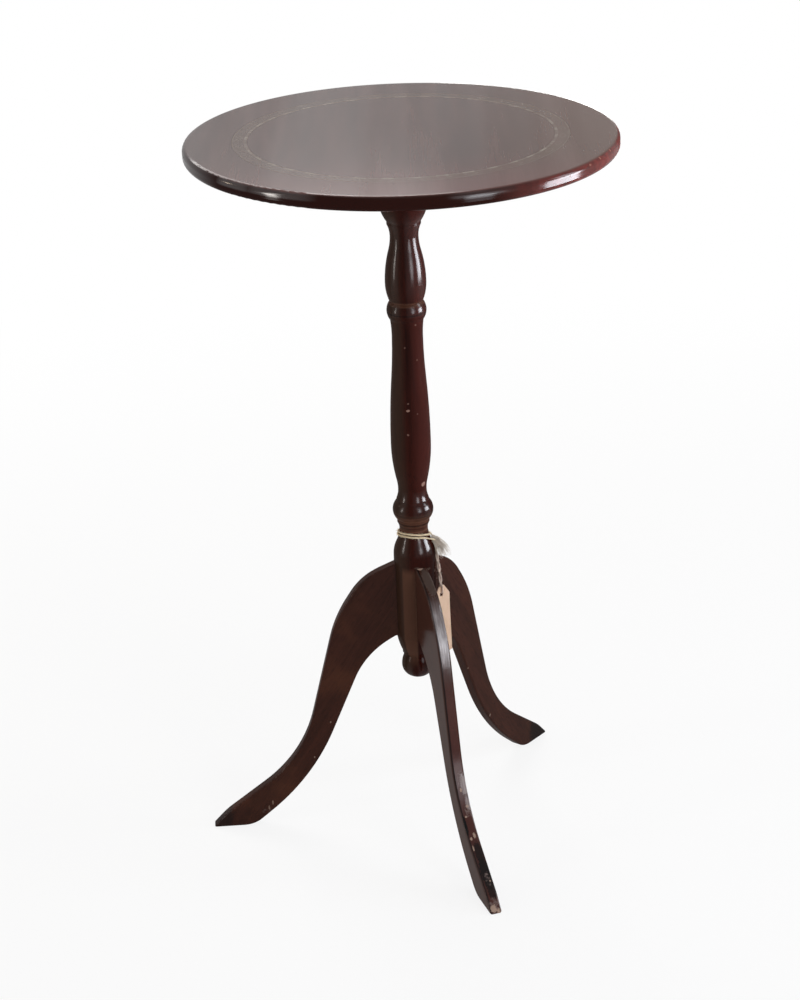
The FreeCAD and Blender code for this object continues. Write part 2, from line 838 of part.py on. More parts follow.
def make_string_winding():
    diameter = driving["string_diameter"]
    neck = driving["string_neck_diameter"] / 2
    swell = driving["shoulder_diameter"] / 2 - neck
    hollow = level_radius(as_size(swell), size("shoulder_curve")).number * driving["shoulder_hollow"]
    neck_level = driving["shoulder_curve"] - driving["knot_rise"]
    stand_off = diameter / 2 + driving["string_clearance"]
    reach = knot_reach.number

    def radius_at(drop):
        return neck + drop ** 2 / (2 * hollow) + stand_off

    def drop_at(angle):
        # Below the narrowest level of the neck: the turns follow each other down and hang to one side.
        advance = driving["winding_pitch"] * angle / (2 * math.pi)
        tilt = driving["winding_tilt"] * math.cos(angle - math.radians(driving["winding_low_angle"]))
        return driving["winding_top"] + advance + tilt

    def point_at(angle):
        radius = radius_at(drop_at(angle))
        return Vector(radius * math.cos(angle), radius * math.sin(angle), neck_level - drop_at(angle))

    def leaves_neck(turns, side):
        # Angle at which a straight line from the knot touches the turns, on one side of the knot.
        angle = 2 * math.pi * turns
        for _ in range(20):
            angle = 2 * math.pi * turns + side * math.acos(radius_at(drop_at(angle)) / reach)
        return angle

    first_angle = leaves_neck(0, 1)
    last_angle = leaves_neck(driving["winding_turns"], -1)
    quarters = round((last_angle - first_angle) / (math.pi / 2))

    def on_winding(share):
        return point_at(first_angle + (last_angle - first_angle) * share)

    def heading(share):
        return (on_winding(share + 1e-4) - on_winding(share - 1e-4)).normalize()

    knot_top = Vector(reach, 0, driving["knot_height"] / 4)
    sink = driving["knot_width"] / 3

    def lead(share):
        # Straight end in the knot, and the direction in which it leaves the knot for a level arc.
        out = on_winding(share) - knot_top
        flat = Vector(out.x, out.y, 0)
        climb = 2 * math.atan(out.z / flat.Length)
        away = flat.normalize() * math.cos(climb) + Vector(0, 0, math.sin(climb))
        inside = knot_top + away * sink
        return inside, inside + away * diameter, away

    start, start_bend, leaving = lead(0)
    end, end_bend, returning = lead(1)
    edges = [Part.LineSegment(start, start_bend).toShape()]
    edges += biarc(start_bend, leaving, on_winding(0), heading(0))
    for quarter in range(quarters):
        one, two = quarter / quarters, (quarter + 1) / quarters
        edges += biarc(on_winding(one), heading(one), on_winding(two), heading(two))
    edges += biarc(on_winding(1), heading(1), end_bend, returning * -1)
    edges.append(Part.LineSegment(end_bend, end).toShape())
    print("string_winding")
    solid, wire = tube(edges, diameter)
    print(f"  least gap to itself {least_gap(wire, diameter, 6 * diameter):.2f}")
    cord = new_cord("string_winding", solid)
    place(cord, knot_height, knot_angle)
    return cord


def make_string_knot():
    knot = doc.addObject("Part::Ellipsoid", "string_knot")
    knot.Label = "string_knot"
    knot.setExpression("Radius1", (size("knot_height") / 2).text)
    knot.setExpression("Radius2", radius_of("knot_width").text)
    knot.setExpression("Radius3", radius_of("knot_width").text)
    place(knot, knot_height, zero, *swung(knot_reach, knot_angle))
    return knot


# Doubled twine from the knot, through the tag's hole and back. X is the tag's width, Y its normal.

def make_string_drop():
    diameter = driving["string_diameter"]
    turn = math.radians(-driving["tag_turn"])
    lean = Vector(math.cos(turn), math.sin(turn), 0) * (knot_reach.number - driving["tag_reach"])
    bight = driving["tag_hole_diameter"] / 2 - diameter / 2 - driving["string_clearance"]
    half_gap = driving["tag_thickness"] / 2 + driving["string_clearance"] + diameter / 2
    knot_end = driving["drop_length"] - driving["knot_height"] / 2 + diameter / 2
    # Share of the lean, share of the height and spread of the two strands, from the knot down
    stations = [
        (1, 1, 0),
        (0.5, 0.58, 0.1),
        (0.2, 0.32, 0.4),
        (0.05, 0.16, 0.3),
        (0, bight / knot_end, 0),
    ]
    front = []
    back = []
    for across, up, spread in stations:
        middle = lean * across + Vector(0, 0, knot_end * up)
        front.append(middle + Vector(0, half_gap + spread, 0))
        back.append(middle - Vector(0, half_gap + spread, 0))
    print("string_drop")
    solid, wire = routed(front + back[::-1], diameter)
    print(f"  least gap to itself {least_gap(wire, diameter, 6 * diameter):.2f}")
    cord = new_cord("string_drop", solid)
    place(cord, tag_hole_height, tag_angle, *swung(size("tag_reach"), knot_angle))
    return cord


# Loose end of the twine, out of the knot and down

def make_string_tail():
    out = Vector(driving["knot_width"] / 2 - driving["string_diameter"] / 2, 0, 0)
    steps = [(0, 0, 0), (1.9, 0.2, -1.5), (3.1, 0.1, -3.6), (3.8, -0.3, -5.8), (4.2, -0.2, -7.6)]
    points = [out + Vector(*step) for step in steps]
    print("string_tail")
    solid, _ = routed(points, driving["string_diameter"])
    cord = new_cord("string_tail", solid)
    place(cord, knot_height, knot_angle, *swung(knot_reach, knot_angle))
    return cord


# Card tag. Its outline is drawn from the hole's middle.

def make_tag():
    body = new_body("tag")
    half = size("tag_width") / 2
    top = size("tag_hole_inset")
    bottom = top - size("tag_length")
    card = new_sketch(body, "tag_outline", "XZ_Plane")
    shoulder = top - size("tag_corner_drop")
    flat = half - size("tag_corner_run")
    draw(card, [
        (-half, bottom),
        (half, bottom),
        (half, shoulder),
        (flat, top),
        (-flat, top),
        (-half, shoulder),
    ])
    circle(card, zero, zero, radius_of("tag_hole_diameter"))
    pad = body.newObject("PartDesign::Pad", "tag_card")
    pad.Profile = card
    pad.SideType = "Symmetric"
    pad.setExpression("Length", size("tag_thickness").text)
    place(body, tag_hole_height, tag_angle, *swung(size("tag_reach"), knot_angle))
    return body


pieces = [
    make_top_panel(),
    make_inlay_banding(),
    make_top_cleat(),
    make_cleat_screws(),
    make_column(),
    make_leg("front"),
    make_leg("right"),
    make_leg("left"),
    make_pendant(),
    make_pendant_dowel(),
    make_string_winding(),
    make_string_knot(),
    make_string_drop(),
    make_string_tail(),
    make_tag(),
]
doc.recompute()

for item in doc.Objects:
    if "Invalid" in item.State or "Error" in item.State:
        raise ValueError(f"{item.Label} failed: {item.State}")
for piece in pieces:
    if piece.Shape.isNull() or not piece.Shape.isValid():
        raise ValueError(f"{piece.Label} has no valid shape")

os.makedirs("parts", exist_ok=True)
for piece in pieces:
    piece.Shape.exportStep(os.path.join("parts", f"{piece.Label}.step"))
    box = piece.Shape.optimalBoundingBox()
    print(f"{piece.Label}: {len(piece.Shape.Solids)} solid, z {box.ZMin:.1f} to {box.ZMax:.1f},"
          f" volume {piece.Shape.Volume:.0f}")
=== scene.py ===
import math
import random
from types import SimpleNamespace as Values

import bmesh
import bpy
from mathutils import Matrix, Vector


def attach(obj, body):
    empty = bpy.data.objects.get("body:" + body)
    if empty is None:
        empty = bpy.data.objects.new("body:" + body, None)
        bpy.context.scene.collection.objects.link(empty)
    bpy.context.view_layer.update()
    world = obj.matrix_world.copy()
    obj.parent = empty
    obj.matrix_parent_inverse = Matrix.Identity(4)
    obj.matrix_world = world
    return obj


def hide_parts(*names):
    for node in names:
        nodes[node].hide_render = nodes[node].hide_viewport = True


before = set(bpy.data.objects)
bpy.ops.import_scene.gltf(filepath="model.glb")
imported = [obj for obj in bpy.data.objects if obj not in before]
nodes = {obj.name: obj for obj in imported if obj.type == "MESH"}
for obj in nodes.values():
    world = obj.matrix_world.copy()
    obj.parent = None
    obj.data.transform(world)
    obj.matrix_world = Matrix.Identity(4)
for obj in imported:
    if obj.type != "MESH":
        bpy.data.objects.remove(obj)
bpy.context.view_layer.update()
scene = bpy.context.scene
scene.view_settings.view_transform = "Standard"
print("frame loaded, nodes:", len(nodes))


def addObject(name, data):
    made = bpy.data.objects.new(name, data)
    scene.collection.objects.link(made)
    return made


def turnAbout(axis, degrees):
    return Matrix.Rotation(math.radians(degrees), 4, axis)


def inMetres(millimetres):
    return Vector(millimetres) / 1000


# camera where the photograph was taken: metres, degrees, and millimetres for lens and sensor
camera = Values(
    eye=(-0.5637, -1.7045, 1.0169),
    heading=-18.0,
    pitch=22.8,
    roll=-2.0,
    lens=95.2,
    sensor=36.0,
)


def placeCamera():
    data = bpy.data.cameras.new("photoCamera")
    data.lens = camera.lens
    data.sensor_width = camera.sensor
    data.sensor_fit = "AUTO"
    eye = addObject("photoCamera", data)
    heading = turnAbout("Z", camera.heading)
    tip = turnAbout("X", 90.0 - camera.pitch)
    roll = turnAbout("Z", camera.roll)
    eye.matrix_world = Matrix.Translation(camera.eye) @ heading @ tip @ roll
    scene.camera = eye


placeCamera()
print("camera placed")


# twine: three plies laid together, with loose hairs
twine = Values(
    thickness=0.0012,
    plies=3,
    plyShare=0.464,  # radius of one ply as a share of the laid twine's
    plyEnds=0.8,
    roundness=1,
    lay=0.0036,  # length of one turn of the plies
    swell=1.22,  # loosely laid, fuller than when drawn tight
    routeSteps=12,  # steps of the spline between two points of a route
    hairsPerMetre=2800,
    hairLength=0.0021,
    hairThickness=0.00005,
    hairRoot=0.4,  # out from the middle, as a share of the thickness
    hairSpread=(0.4, 1.0),
    hairSweep=(-1.0, 1.0),
    hairLift=(0.3, 0.9),
    hairSkew=(-0.4, 0.4),
    fibreEnds=0.6,  # hairs and loose fibres thin out to this share
)
seeds = {"windingTwine": 3, "dropTwine": 5, "knotTwine": 7, "frayedTail": 11}
knot = Values(
    angle=341.7,  # round the column from +X
    reach=0.01795,
    height=0.2267,
    wide=0.006,
    tall=0.009,
    seenReach=0.0164,  # pulled in towards the column
    steps=24,
    loop=0.145,  # swing of the route, as a share of width and height
    weave=0.24,
    lift=0.06,
    leadRise=0.25,  # the winding's leads meet this share of the height above the middle
    leadPart=3,  # and start a third of the width out
)
winding = Values(
    length=0.1603,
    turns=2,
    stepsPerTurn=20,
    settling=20,  # rounds that find where a lead leaves the neck
    top=0.0027,  # first turn below the neck's narrowest level
    pitch=0.0021,
    tilt=0.0026,
    lowAngle=71.0,
    neck=0.0105,
    hollow=0.0231,  # radius of the neck's curve
    neckRise=0.0138,  # neck above the knot
    standOff=0.00085,
)
drop = Values(
    length=0.0748,
    height=0.0378,
    lean=-0.0034,
    leanAngle=-53.0,
    leanPower=1.3,
    halfGap=0.00115,
    twistGap=0.0007,
    opening=0.0005,  # the strands open towards the card
    openingPower=8,
    twists=1.75,  # the two strands wind about each other
    stations=14,
    parts=0.16,  # they part at this share of the height
    low=0.0304,  # and pass the hole at this one
)
tail = Values(
    fibres=170,
    roundness=0,
    fray=0.0009,
    stray=(-1.4, 1.4),
    starts=(0.0, 0.1),
    stops=(0.55, 1.0),
    spread=0.5,
    thins=(0.6, 1.0),
    thickness=0.00008,
    strand=0.00019,  # every ninth one is a thicker strand
    strandEvery=9,
    # the fall's upper and lower line, millimetres from the knot
    upper=[
        (-6.0, -0.8, 7.4), (-2.6, -1.4, 6.8), (1.6, -1.4, 4.0),
        (5.6, -1.0, -0.6), (8.0, -0.6, -5.4), (9.2, -0.4, -8.6),
    ],
    lower=[
        (-6.0, -1.4, 3.0), (-4.2, -1.8, 2.4), (-2.4, -2.0, -0.6),
        (-1.0, -2.0, -4.6), (0.2, -1.8, -8.6), (0.8, -1.6, -11.6),
    ],
)
card = Values(
    angle=34.7,
    hole=(0.01804, -0.00597, 0.185),
    holeRadius=0.002,
    holeSides=32,
    halfWidth=0.010,
    above=0.0065,
    below=0.0488,
    cornerRun=0.007,
    cornerDrop=0.0086,
    thickness=0.0006,
    rows=16,
    columns=6,
    stiff=0.006,  # flat down to here below the hole
    curl=-0.0011,
    curlPower=1.5,
    curlSide=0.35,
    wave=0.35,
    waveTurn=3.0,
)
knotPlace = Matrix.Translation((0, 0, knot.height)) @ turnAbout("Z", knot.angle)
cardPlace = Matrix.Translation(card.hole) @ turnAbout("Z", card.angle)


def curveMesh(data):
    holder = bpy.data.objects.new(data.name, data)
    mesh = bpy.data.meshes.new_from_object(holder)
    bpy.data.objects.remove(holder)
    bpy.data.curves.remove(data)
    return mesh


def routeLine(points, closed=False):
    # points read back from a smooth spline along the route
    data = bpy.data.curves.new("route", "CURVE")
    data.dimensions = "3D"
    data.resolution_u = twine.routeSteps
    spline = data.splines.new("NURBS")
    spline.points.add(len(points) - 1)
    for spot, point in zip(spline.points, points):
        spot.co = (*point, 1.0)
    spline.order_u = 3
    spline.use_endpoint_u = not closed
    spline.use_cyclic_u = closed
    mesh = curveMesh(data)
    line = [vertex.co.copy() for vertex in mesh.vertices]
    bpy.data.meshes.remove(mesh)
    return line + line[:1] if closed else line


def lineFrames(line):
    # distance so far, point, direction along, and two directions square to it
    side = None
    travelled = 0.0
    frames = []
    for index, point in enumerate(line):
        before = line[max(index - 1, 0)]
        after = line[min(index + 1, len(line) - 1)]
        along = (after - before).normalized()
        if side is None:
            side = along.orthogonal()
        side = (side - along * side.dot(along)).normalized()
        if index:
            travelled += (point - before).length
        frames.append((travelled, point, along, side, along.cross(side)))
    return frames


def addFibre(data, points, radius, ends):
    spline = data.splines.new("POLY")
    spline.points.add(len(points) - 1)
    for index, (spot, point) in enumerate(zip(spline.points, points)):
        spot.co = (*point, 1.0)
        atEnd = index in (0, len(points) - 1)
        spot.radius = radius * (ends if atEnd else 1.0)


def newFibres(name, roundness):
    data = bpy.data.curves.new(name, "CURVE")
    data.dimensions = "3D"
    data.bevel_depth = 1.0
    data.bevel_resolution = roundness
    data.use_fill_caps = True
    return data


def curveToPiece(name, data):
    mesh = curveMesh(data)
    mesh.name = name
    mesh.polygons.foreach_set("use_smooth", [True] * len(mesh.polygons))
    return addObject(name, mesh)


def formToPiece(name, form):
    mesh = bpy.data.meshes.new(name)
    form.to_mesh(mesh)
    form.free()
    return addObject(name, mesh)


def laidTwine(name, line):
    # plies and hairs along the line, as one mesh
    dice = random.Random(seeds[name])
    data = newFibres(name, twine.roundness)
    laidRadius = twine.thickness * twine.swell / 2
    plyRadius = laidRadius * twine.plyShare
    offset = laidRadius - plyRadius
    frames = lineFrames(line)
    for ply in range(twine.plies):
        start = math.tau * ply / twine.plies
        strand = []
        for travelled, point, _, side, across in frames:
            turn = start + math.tau * travelled / twine.lay
            strand.append(point + (side * math.cos(turn) + across * math.sin(turn)) * offset)
        addFibre(data, strand, plyRadius, twine.plyEnds)
    whole = frames[-1][0]
    for _ in range(round(whole * twine.hairsPerMetre)):
        _, point, along, side, across = dice.choice(frames)
        turn = dice.uniform(0, math.tau)
        out = side * math.cos(turn) + across * math.sin(turn)
        sweep = along * dice.uniform(*twine.hairSweep) + out * dice.uniform(*twine.hairLift)
        reach = twine.hairLength * dice.uniform(*twine.hairSpread)
        root = point + out * twine.thickness * twine.hairRoot
        bend = root + sweep * reach / 2
        tip = root + (sweep + out.cross(along) * dice.uniform(*twine.hairSkew)) * reach
        addFibre(data, [root, bend, tip], twine.hairThickness, twine.fibreEnds)
    return curveToPiece(name, data)


def windingRoute():
    reach = knot.reach
    lowAngle = math.radians(winding.lowAngle)

    def below(angle):
        advance = winding.pitch * angle / math.tau
        return winding.top + advance + winding.tilt * math.cos(angle - lowAngle)

    def radius(angle):
        return winding.neck + below(angle) ** 2 / (2 * winding.hollow) + winding.standOff

    def leaves(turns, side):
        angle = math.tau * turns
        for _ in range(winding.settling):
            angle = math.tau * turns + side * math.acos(radius(angle) / reach)
        return angle

    first, last = leaves(0, 1), leaves(winding.turns, -1)
    steps = round((last - first) / math.tau * winding.stepsPerTurn)
    swell = 1.0 / math.cos((last - first) / steps / 2)  # the spline runs inside its points
    turns = []
    for step in range(steps + 1):
        angle = first + (last - first) * step / steps
        wide = radius(angle) * swell
        height = winding.neckRise - below(angle)
        turns.append(Vector((wide * math.cos(angle), wide * math.sin(angle), height)))
    top = Vector((reach, 0, knot.tall * knot.leadRise))

    def leadEnd(turn):
        return top + (turn - top).normalized() * knot.wide / knot.leadPart

    return [knotPlace @ point for point in [leadEnd(turns[0])] + turns + [leadEnd(turns[-1])]]


def dropRoute():
    lean = math.radians(drop.leanAngle)
    leanWay = Vector((math.cos(lean), math.sin(lean), 0))
    front, back = [], []
    for station in range(drop.stations + 1):
        share = station / drop.stations
        up = 1.0 - (1.0 - drop.parts) * share
        middle = leanWay * drop.lean * (1.0 - share) ** drop.leanPower
        middle.z = drop.height * up
        turn = math.pi / 2 - math.tau * drop.twists * (1.0 - share)
        gap = drop.twistGap + drop.opening * share ** drop.openingPower
        out = Vector((math.cos(turn), math.sin(turn), 0)) * gap
        front.append(cardPlace @ (middle + out))
        back.append(cardPlace @ (middle - out))
    ends = Vector((0, drop.halfGap, 0))
    low = Vector((0, 0, drop.height * drop.low))
    return front + [cardPlace @ (low + ends), cardPlace @ (low - ends)] + back[::-1]


def knotRoute():
    # overhand knot, taller than it is wide
    points = []
    for step in range(knot.steps):
        turn = math.tau * step / knot.steps
        aside = (math.sin(turn) + 2 * math.sin(2 * turn)) * knot.wide * knot.loop
        up = (math.cos(turn) - 2 * math.cos(2 * turn)) * knot.tall * knot.loop
        up = up + knot.tall * knot.lift
        out = -math.sin(3 * turn) * knot.wide * knot.weave
        points.append(knotPlace @ Vector((knot.seenReach + out, aside, up)))
    return points


def makeTail():
    # untwisted end: fine fibres that spread as they leave the knot
    dice = random.Random(seeds["frayedTail"])
    data = newFibres("frayedTail", tail.roundness)
    upper, lower = (routeLine([inMetres(point) for point in line]) for line in (tail.upper, tail.lower))
    knotSpot = Vector((knot.reach, 0, 0))
    for fibre in range(tail.fibres):
        share = dice.random()
        turn = dice.uniform(0, math.tau)
        stray = Vector((math.cos(turn), dice.uniform(*tail.stray), math.sin(turn))) * tail.fray
        first = round(len(upper) * dice.uniform(*tail.starts))
        last = round(len(upper) * dice.uniform(*tail.stops))
        points = []
        for index in range(first, last):
            middle = upper[index].lerp(lower[index], share)
            middle = middle + stray * (tail.spread + index / len(upper)) + knotSpot
            points.append(knotPlace @ middle)
        thick = tail.thickness if fibre % tail.strandEvery else tail.strand
        addFibre(data, points, thick * dice.uniform(*tail.thins), twine.fibreEnds)
    return curveToPiece("frayedTail", data)


def makeTag():
    # blank card: cut corners, punched hole, slightly curled
    form = bmesh.new()
    half, top, low = card.halfWidth, card.above, -card.below
    inner, shoulder = half - card.cornerRun, top - card.cornerDrop
    corners = [(-half, low), (half, low), (half, shoulder), (inner, top), (-inner, top), (-half, shoulder)]
    outline = [form.verts.new((x, 0, z)) for x, z in corners]
    for one, two in zip(outline, outline[1:] + outline[:1]):
        form.edges.new((one, two))
    upright = turnAbout("X", 90.0)
    bmesh.ops.create_circle(form, segments=card.holeSides, radius=card.holeRadius, matrix=upright)
    bmesh.ops.triangle_fill(form, use_beauty=True, use_dissolve=False, edges=form.edges[:])
    rows, columns = card.rows, card.columns
    cuts = [((0, 0, low + (top - low) * row / rows), (0, 0, 1)) for row in range(1, rows)]
    cuts += [((-half + 2 * half * column / columns, 0, 0), (1, 0, 0)) for column in range(1, columns)]
    for spot, normal in cuts:
        everything = form.verts[:] + form.edges[:] + form.faces[:]
        bmesh.ops.bisect_plane(form, geom=everything, plane_co=spot, plane_no=normal)
    for vertex in form.verts:
        hang = max(0.0, -vertex.co.z - card.stiff) / card.below
        edge = (vertex.co.x + half) / (2 * half)
        bend = hang ** card.curlPower * (card.curlSide + edge)
        wave = card.wave * hang * math.sin(edge * card.waveTurn)
        vertex.co.y += card.curl * (bend + wave)
    bmesh.ops.recalc_face_normals(form, faces=form.faces[:])
    bmesh.ops.solidify(form, geom=form.faces[:], thickness=card.thickness)
    bmesh.ops.translate(form, verts=form.verts[:], vec=(0, card.thickness / 2, 0))
    bmesh.ops.recalc_face_normals(form, faces=form.faces[:])
    bmesh.ops.transform(form, matrix=cardPlace, verts=form.verts[:])
    return formToPiece("stringTag", form)


windingLine = routeLine(windingRoute())
dropLine = routeLine(dropRoute())
windingTwine = laidTwine("windingTwine", windingLine)
dropTwine = laidTwine("dropTwine", dropLine)
knotTwine = laidTwine("knotTwine", routeLine(knotRoute(), True))
frayedTail = makeTail()
stringTag = makeTag()
for piece, node, slot in [
    (windingTwine, "string_winding", "twine"),
    (dropTwine, "string_drop", "twine"),
    (knotTwine, "string_knot", "twine"),
    (frayedTail, "string_tail", "twine"),
    (stringTag, "tag", "tag_card"),
]:
    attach(piece, "root")
    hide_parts(node)
print("twine, knot, frayed tail and tag made")


# shader helpers
def wire(value, socket):
    if isinstance(value, bpy.types.NodeSocket):
        socket.id_data.links.new(value, socket)
    else:
        socket.default_value = value


def treeOf(values):
    # node tree of the first socket among the values
    return next(value.id_data for value in values if isinstance(value, bpy.types.NodeSocket))


def addNode(kind, inputs, tree=None, **settings):
    # goes into the tree that feeds it, unless another is given
    made = (tree or treeOf(inputs.values())).nodes.new("ShaderNode" + kind)
    for name, value in settings.items():
        setattr(made, name, value)
    for name, value in inputs.items():
        wire(value, made.inputs[name])
    return made


def calc(operation, *values):
    return addNode("Math", dict(enumerate(values)), operation=operation).outputs[0]


def vectorCalc(operation, *values):
    made = addNode("VectorMath", dict(enumerate(values)), operation=operation)
    return made.outputs["Value" if operation in ("LENGTH", "DOT_PRODUCT") else "Vector"]


def times(one, two):
    return calc("MULTIPLY", one, two)


def inverse(mask):
    return calc("SUBTRACT", 1.0, mask)


def most(*masks):
    found = masks[0]
    for mask in masks[1:]:
        found = calc("MAXIMUM", found, mask)
    return found


def reachAlong(vector, direction):
    return vectorCalc("DOT_PRODUCT", vector, direction)


def fade(value, low, high, bottom=0.0, top=1.0):
    ends = {"Value": value, "From Min": low, "From Max": high, "To Min": bottom, "To Max": top}
    return addNode("MapRange", ends, interpolation_type="SMOOTHSTEP").outputs["Result"]


def band(value, start, full, ebb, end):
    # full from one level to another, none outside
    return times(fade(value, start, full), fade(value, end, ebb))


def near(value, middle, half, core, top=1.0):
    # highest within the core of a half width on either side of a level
    away = calc("ABSOLUTE", calc("SUBTRACT", value, middle))
    return fade(away, half, half * core, 0.0, top)


def blend(share, under, over):
    under, over = ((*given, 1.0) if isinstance(given, tuple) else given for given in (under, over))
    return addNode("Mix", {0: share, 6: under, 7: over}, data_type="RGBA").outputs[2]


def blendValue(share, under, over):
    return addNode("Mix", {0: share, 2: under, 3: over}).outputs[0]


def cloud(vector, scale, detail, roughness):
    inputs = {"Vector": vector, "Scale": scale, "Detail": detail, "Roughness": roughness}
    return addNode("TexNoise", inputs).outputs["Fac"]


def streaks(vector, scale, detail, roughness):
    # noise with its own scale along each axis
    return cloud(vectorCalc("MULTIPLY", vector, scale), 1.0, detail, roughness)


def raggedShift(vector, scale):
    # shift that wanders up to half a unit each way
    noise = addNode("TexNoise", {"Vector": vector, "Scale": scale, "Detail": effects.raggedDetail})
    return vectorCalc("SUBTRACT", noise.outputs["Color"], (0.5, 0.5, 0.5))


def newGroup(name, vectors, values, outputs):
    group = bpy.data.node_groups.new(name, "ShaderNodeTree")
    sockets = [(label, "INPUT", "Vector") for label in vectors]
    sockets += [(label, "INPUT", "Float") for label in values]
    sockets += [(label, "OUTPUT", "Float") for label in outputs]
    for label, way, kind in sockets:
        group.interface.new_socket(label, in_out=way, socket_type="NodeSocket" + kind)
    return group, group.nodes.new("NodeGroupInput").outputs, group.nodes.new("NodeGroupOutput").inputs


def useGroup(group, **inputs):
    return addNode("Group", inputs, node_tree=group).outputs


# shared effects; noise, here and below, is scale, detail and roughness
# a run is where a fade starts and ends, then its two values where they aren't none and full
effects = Values(
    broad=((5.0, 55.0, 55.0), 4.0, 0.55),
    broadShare=0.65,
    fine=((18.0, 420.0, 420.0), 3.0, 0.6),
    fineShare=0.35,
    dashes=((120.0, 2400.0, 2400.0), 1.0, 0.5),
    poreRun=(0.60, 0.72),
    raggedDetail=2.0,
    chipRagged=900.0,
    chipShift=(0.0022, 0.0022, 0.0022),
    chipSizes=(0.35, 1.0),
    chipCore=0.8,
    knockRagged=1100.0,
    knockRun=(1.0, 0.7),
    rubPatches=(160.0, 4.0, 0.65),
    rubPatchShare=0.8,
    rubAmountShare=0.5,
    rubRun=(0.62, 0.74),
    smears=(24.0, 3.0, 0.6),
    smearRun=(0.3, 0.75),
)

# mahogany: grain along X, broad stripes and short dark pores
mahogany, given, result = newGroup("mahoganyGrain", ["Vector"], [], ["Figure", "Pores"])
broad = times(streaks(given["Vector"], *effects.broad), effects.broadShare)
fine = times(streaks(given["Vector"], *effects.fine), effects.fineShare)
dashes = streaks(given["Vector"], *effects.dashes)
wire(calc("ADD", broad, fine), result["Figure"])
wire(fade(dashes, *effects.poreRun), result["Pores"])

# chips: sparse knocks of uneven outline
chips, given, result = newGroup("finishChips", ["Vector"], ["Density", "Share", "Size"], ["Mask"])
nudge = raggedShift(given["Vector"], effects.chipRagged)
nudge = vectorCalc("MULTIPLY", nudge, effects.chipShift)
spots = vectorCalc("ADD", given["Vector"], nudge)
cells = addNode("TexVoronoi", {"Vector": spots, "Scale": given["Density"]}).outputs
draw = addNode("SeparateColor", {"Color": cells["Color"]}).outputs
picked = calc("LESS_THAN", draw[0], given["Share"])
metres = calc("DIVIDE", cells["Distance"], given["Density"])
reach = times(given["Size"], fade(draw[1], 0.0, 1.0, *effects.chipSizes))
inside = inverse(fade(metres, times(reach, effects.chipCore), reach))
wire(times(picked, inside), result["Mask"])

# one knock at a given place, with a ragged outline
knock, given, result = newGroup("singleKnock", ["Vector", "Centre", "Size"], [], ["Mask"])
nudge = raggedShift(given["Vector"], effects.knockRagged)
apart = vectorCalc("SUBTRACT", given["Vector"], given["Centre"])
apart = vectorCalc("DIVIDE", apart, given["Size"])
distance = vectorCalc("LENGTH", vectorCalc("ADD", apart, nudge))
wire(fade(distance, *effects.knockRun), result["Mask"])

# rubbed arrises: the finish breaks up where an edge mask is high
rubbed, given, result = newGroup("rubbedArris", ["Vector"], ["Edge", "Amount"], ["Mask"])
patches = times(cloud(given["Vector"], *effects.rubPatches), effects.rubPatchShare)
breaks = calc("ADD", patches, times(given["Amount"], effects.rubAmountShare))
wire(times(given["Edge"], fade(breaks, *effects.rubRun)), result["Mask"])

# handled polish: roughness that wanders between two values
polish, given, result = newGroup("handledPolish", ["Vector"], ["Shine", "Dull"], ["Roughness"])
smears = cloud(given["Vector"], *effects.smears)
gloss = fade(smears, *effects.smearRun, given["Shine"], given["Dull"])
wire(gloss, result["Roughness"])

print("shader groups built")


def newMaterial(name):
    material = bpy.data.materials.new(name)
    material.use_nodes = True
    tree = material.node_tree
    tree.nodes.clear()
    shader = tree.nodes.new("ShaderNodeBsdfPrincipled")
    output = tree.nodes.new("ShaderNodeOutputMaterial")
    wire(shader.outputs["BSDF"], output.inputs["Surface"])
    place = tree.nodes.new("ShaderNodeTexCoord").outputs["Object"]
    return material, shader.inputs, place


def turnedTo(place, about, degrees):
    angles = [0.0, 0.0, 0.0]
    angles["XYZ".index(about)] = math.radians(degrees)
    return addNode("Mapping", {"Vector": place, "Rotation": angles}).outputs["Vector"]


def bump(height, strength, distance):
    made = addNode("Bump", {"Height": height, "Strength": strength, "Distance": distance})
    return made.outputs["Normal"]


def axesOf(vector):
    return addNode("SeparateXYZ", {"Vector": vector}).outputs


def radiusAt(place):
    axes = axesOf(place)
    flat = addNode("CombineXYZ", {"X": axes["X"], "Y": axes["Y"]}).outputs["Vector"]
    return axes, flat, vectorCalc("LENGTH", flat)


def knocks(place, spots):
    # spots: centre and half size in millimetres, and strength where it isn't full
    found = []
    for centre, size, *strength in spots:
        mask = useGroup(knock, Vector=place, Centre=inMetres(centre), Size=inMetres(size))["Mask"]
        found.append(times(mask, strength[0]) if strength else mask)
    return most(*found)


def bearingMask(flat, degrees, wide, narrow):
    # one side of an upright form: full within the narrow angle, none past the wide one
    toward = math.radians(camera.heading - 90.0 + degrees)
    direction = (math.cos(toward), math.sin(toward), 0.0)
    ahead = reachAlong(vectorCalc("NORMALIZE", flat), direction)
    return fade(ahead, math.cos(math.radians(wide)), math.cos(math.radians(narrow)))


polishCore = 0.25  # share of a polished side's half angle that is full


def keptPolish(flat, thin, stretches):
    # thin polish, fuller on a few sides: bearing, half angle, weight
    weight = thin
    for bearing, half, strength in stretches:
        kept = times(bearingMask(flat, bearing, half, half * polishCore), strength)
        weight = most(kept, weight)
    return weight


def grained(vector, timber):
    wood = useGroup(mahogany, Vector=vector)
    figure = fade(wood["Figure"], *timber.figureRun)
    return blend(figure, timber.dark, timber.light), wood["Pores"]


def specksOn(place, timber):
    return useGroup(chips, Vector=place, **timber.specks)["Mask"]


def glossOf(place, timber):
    return useGroup(polish, Vector=place, Shine=timber.shine, Dull=timber.dull)["Roughness"]


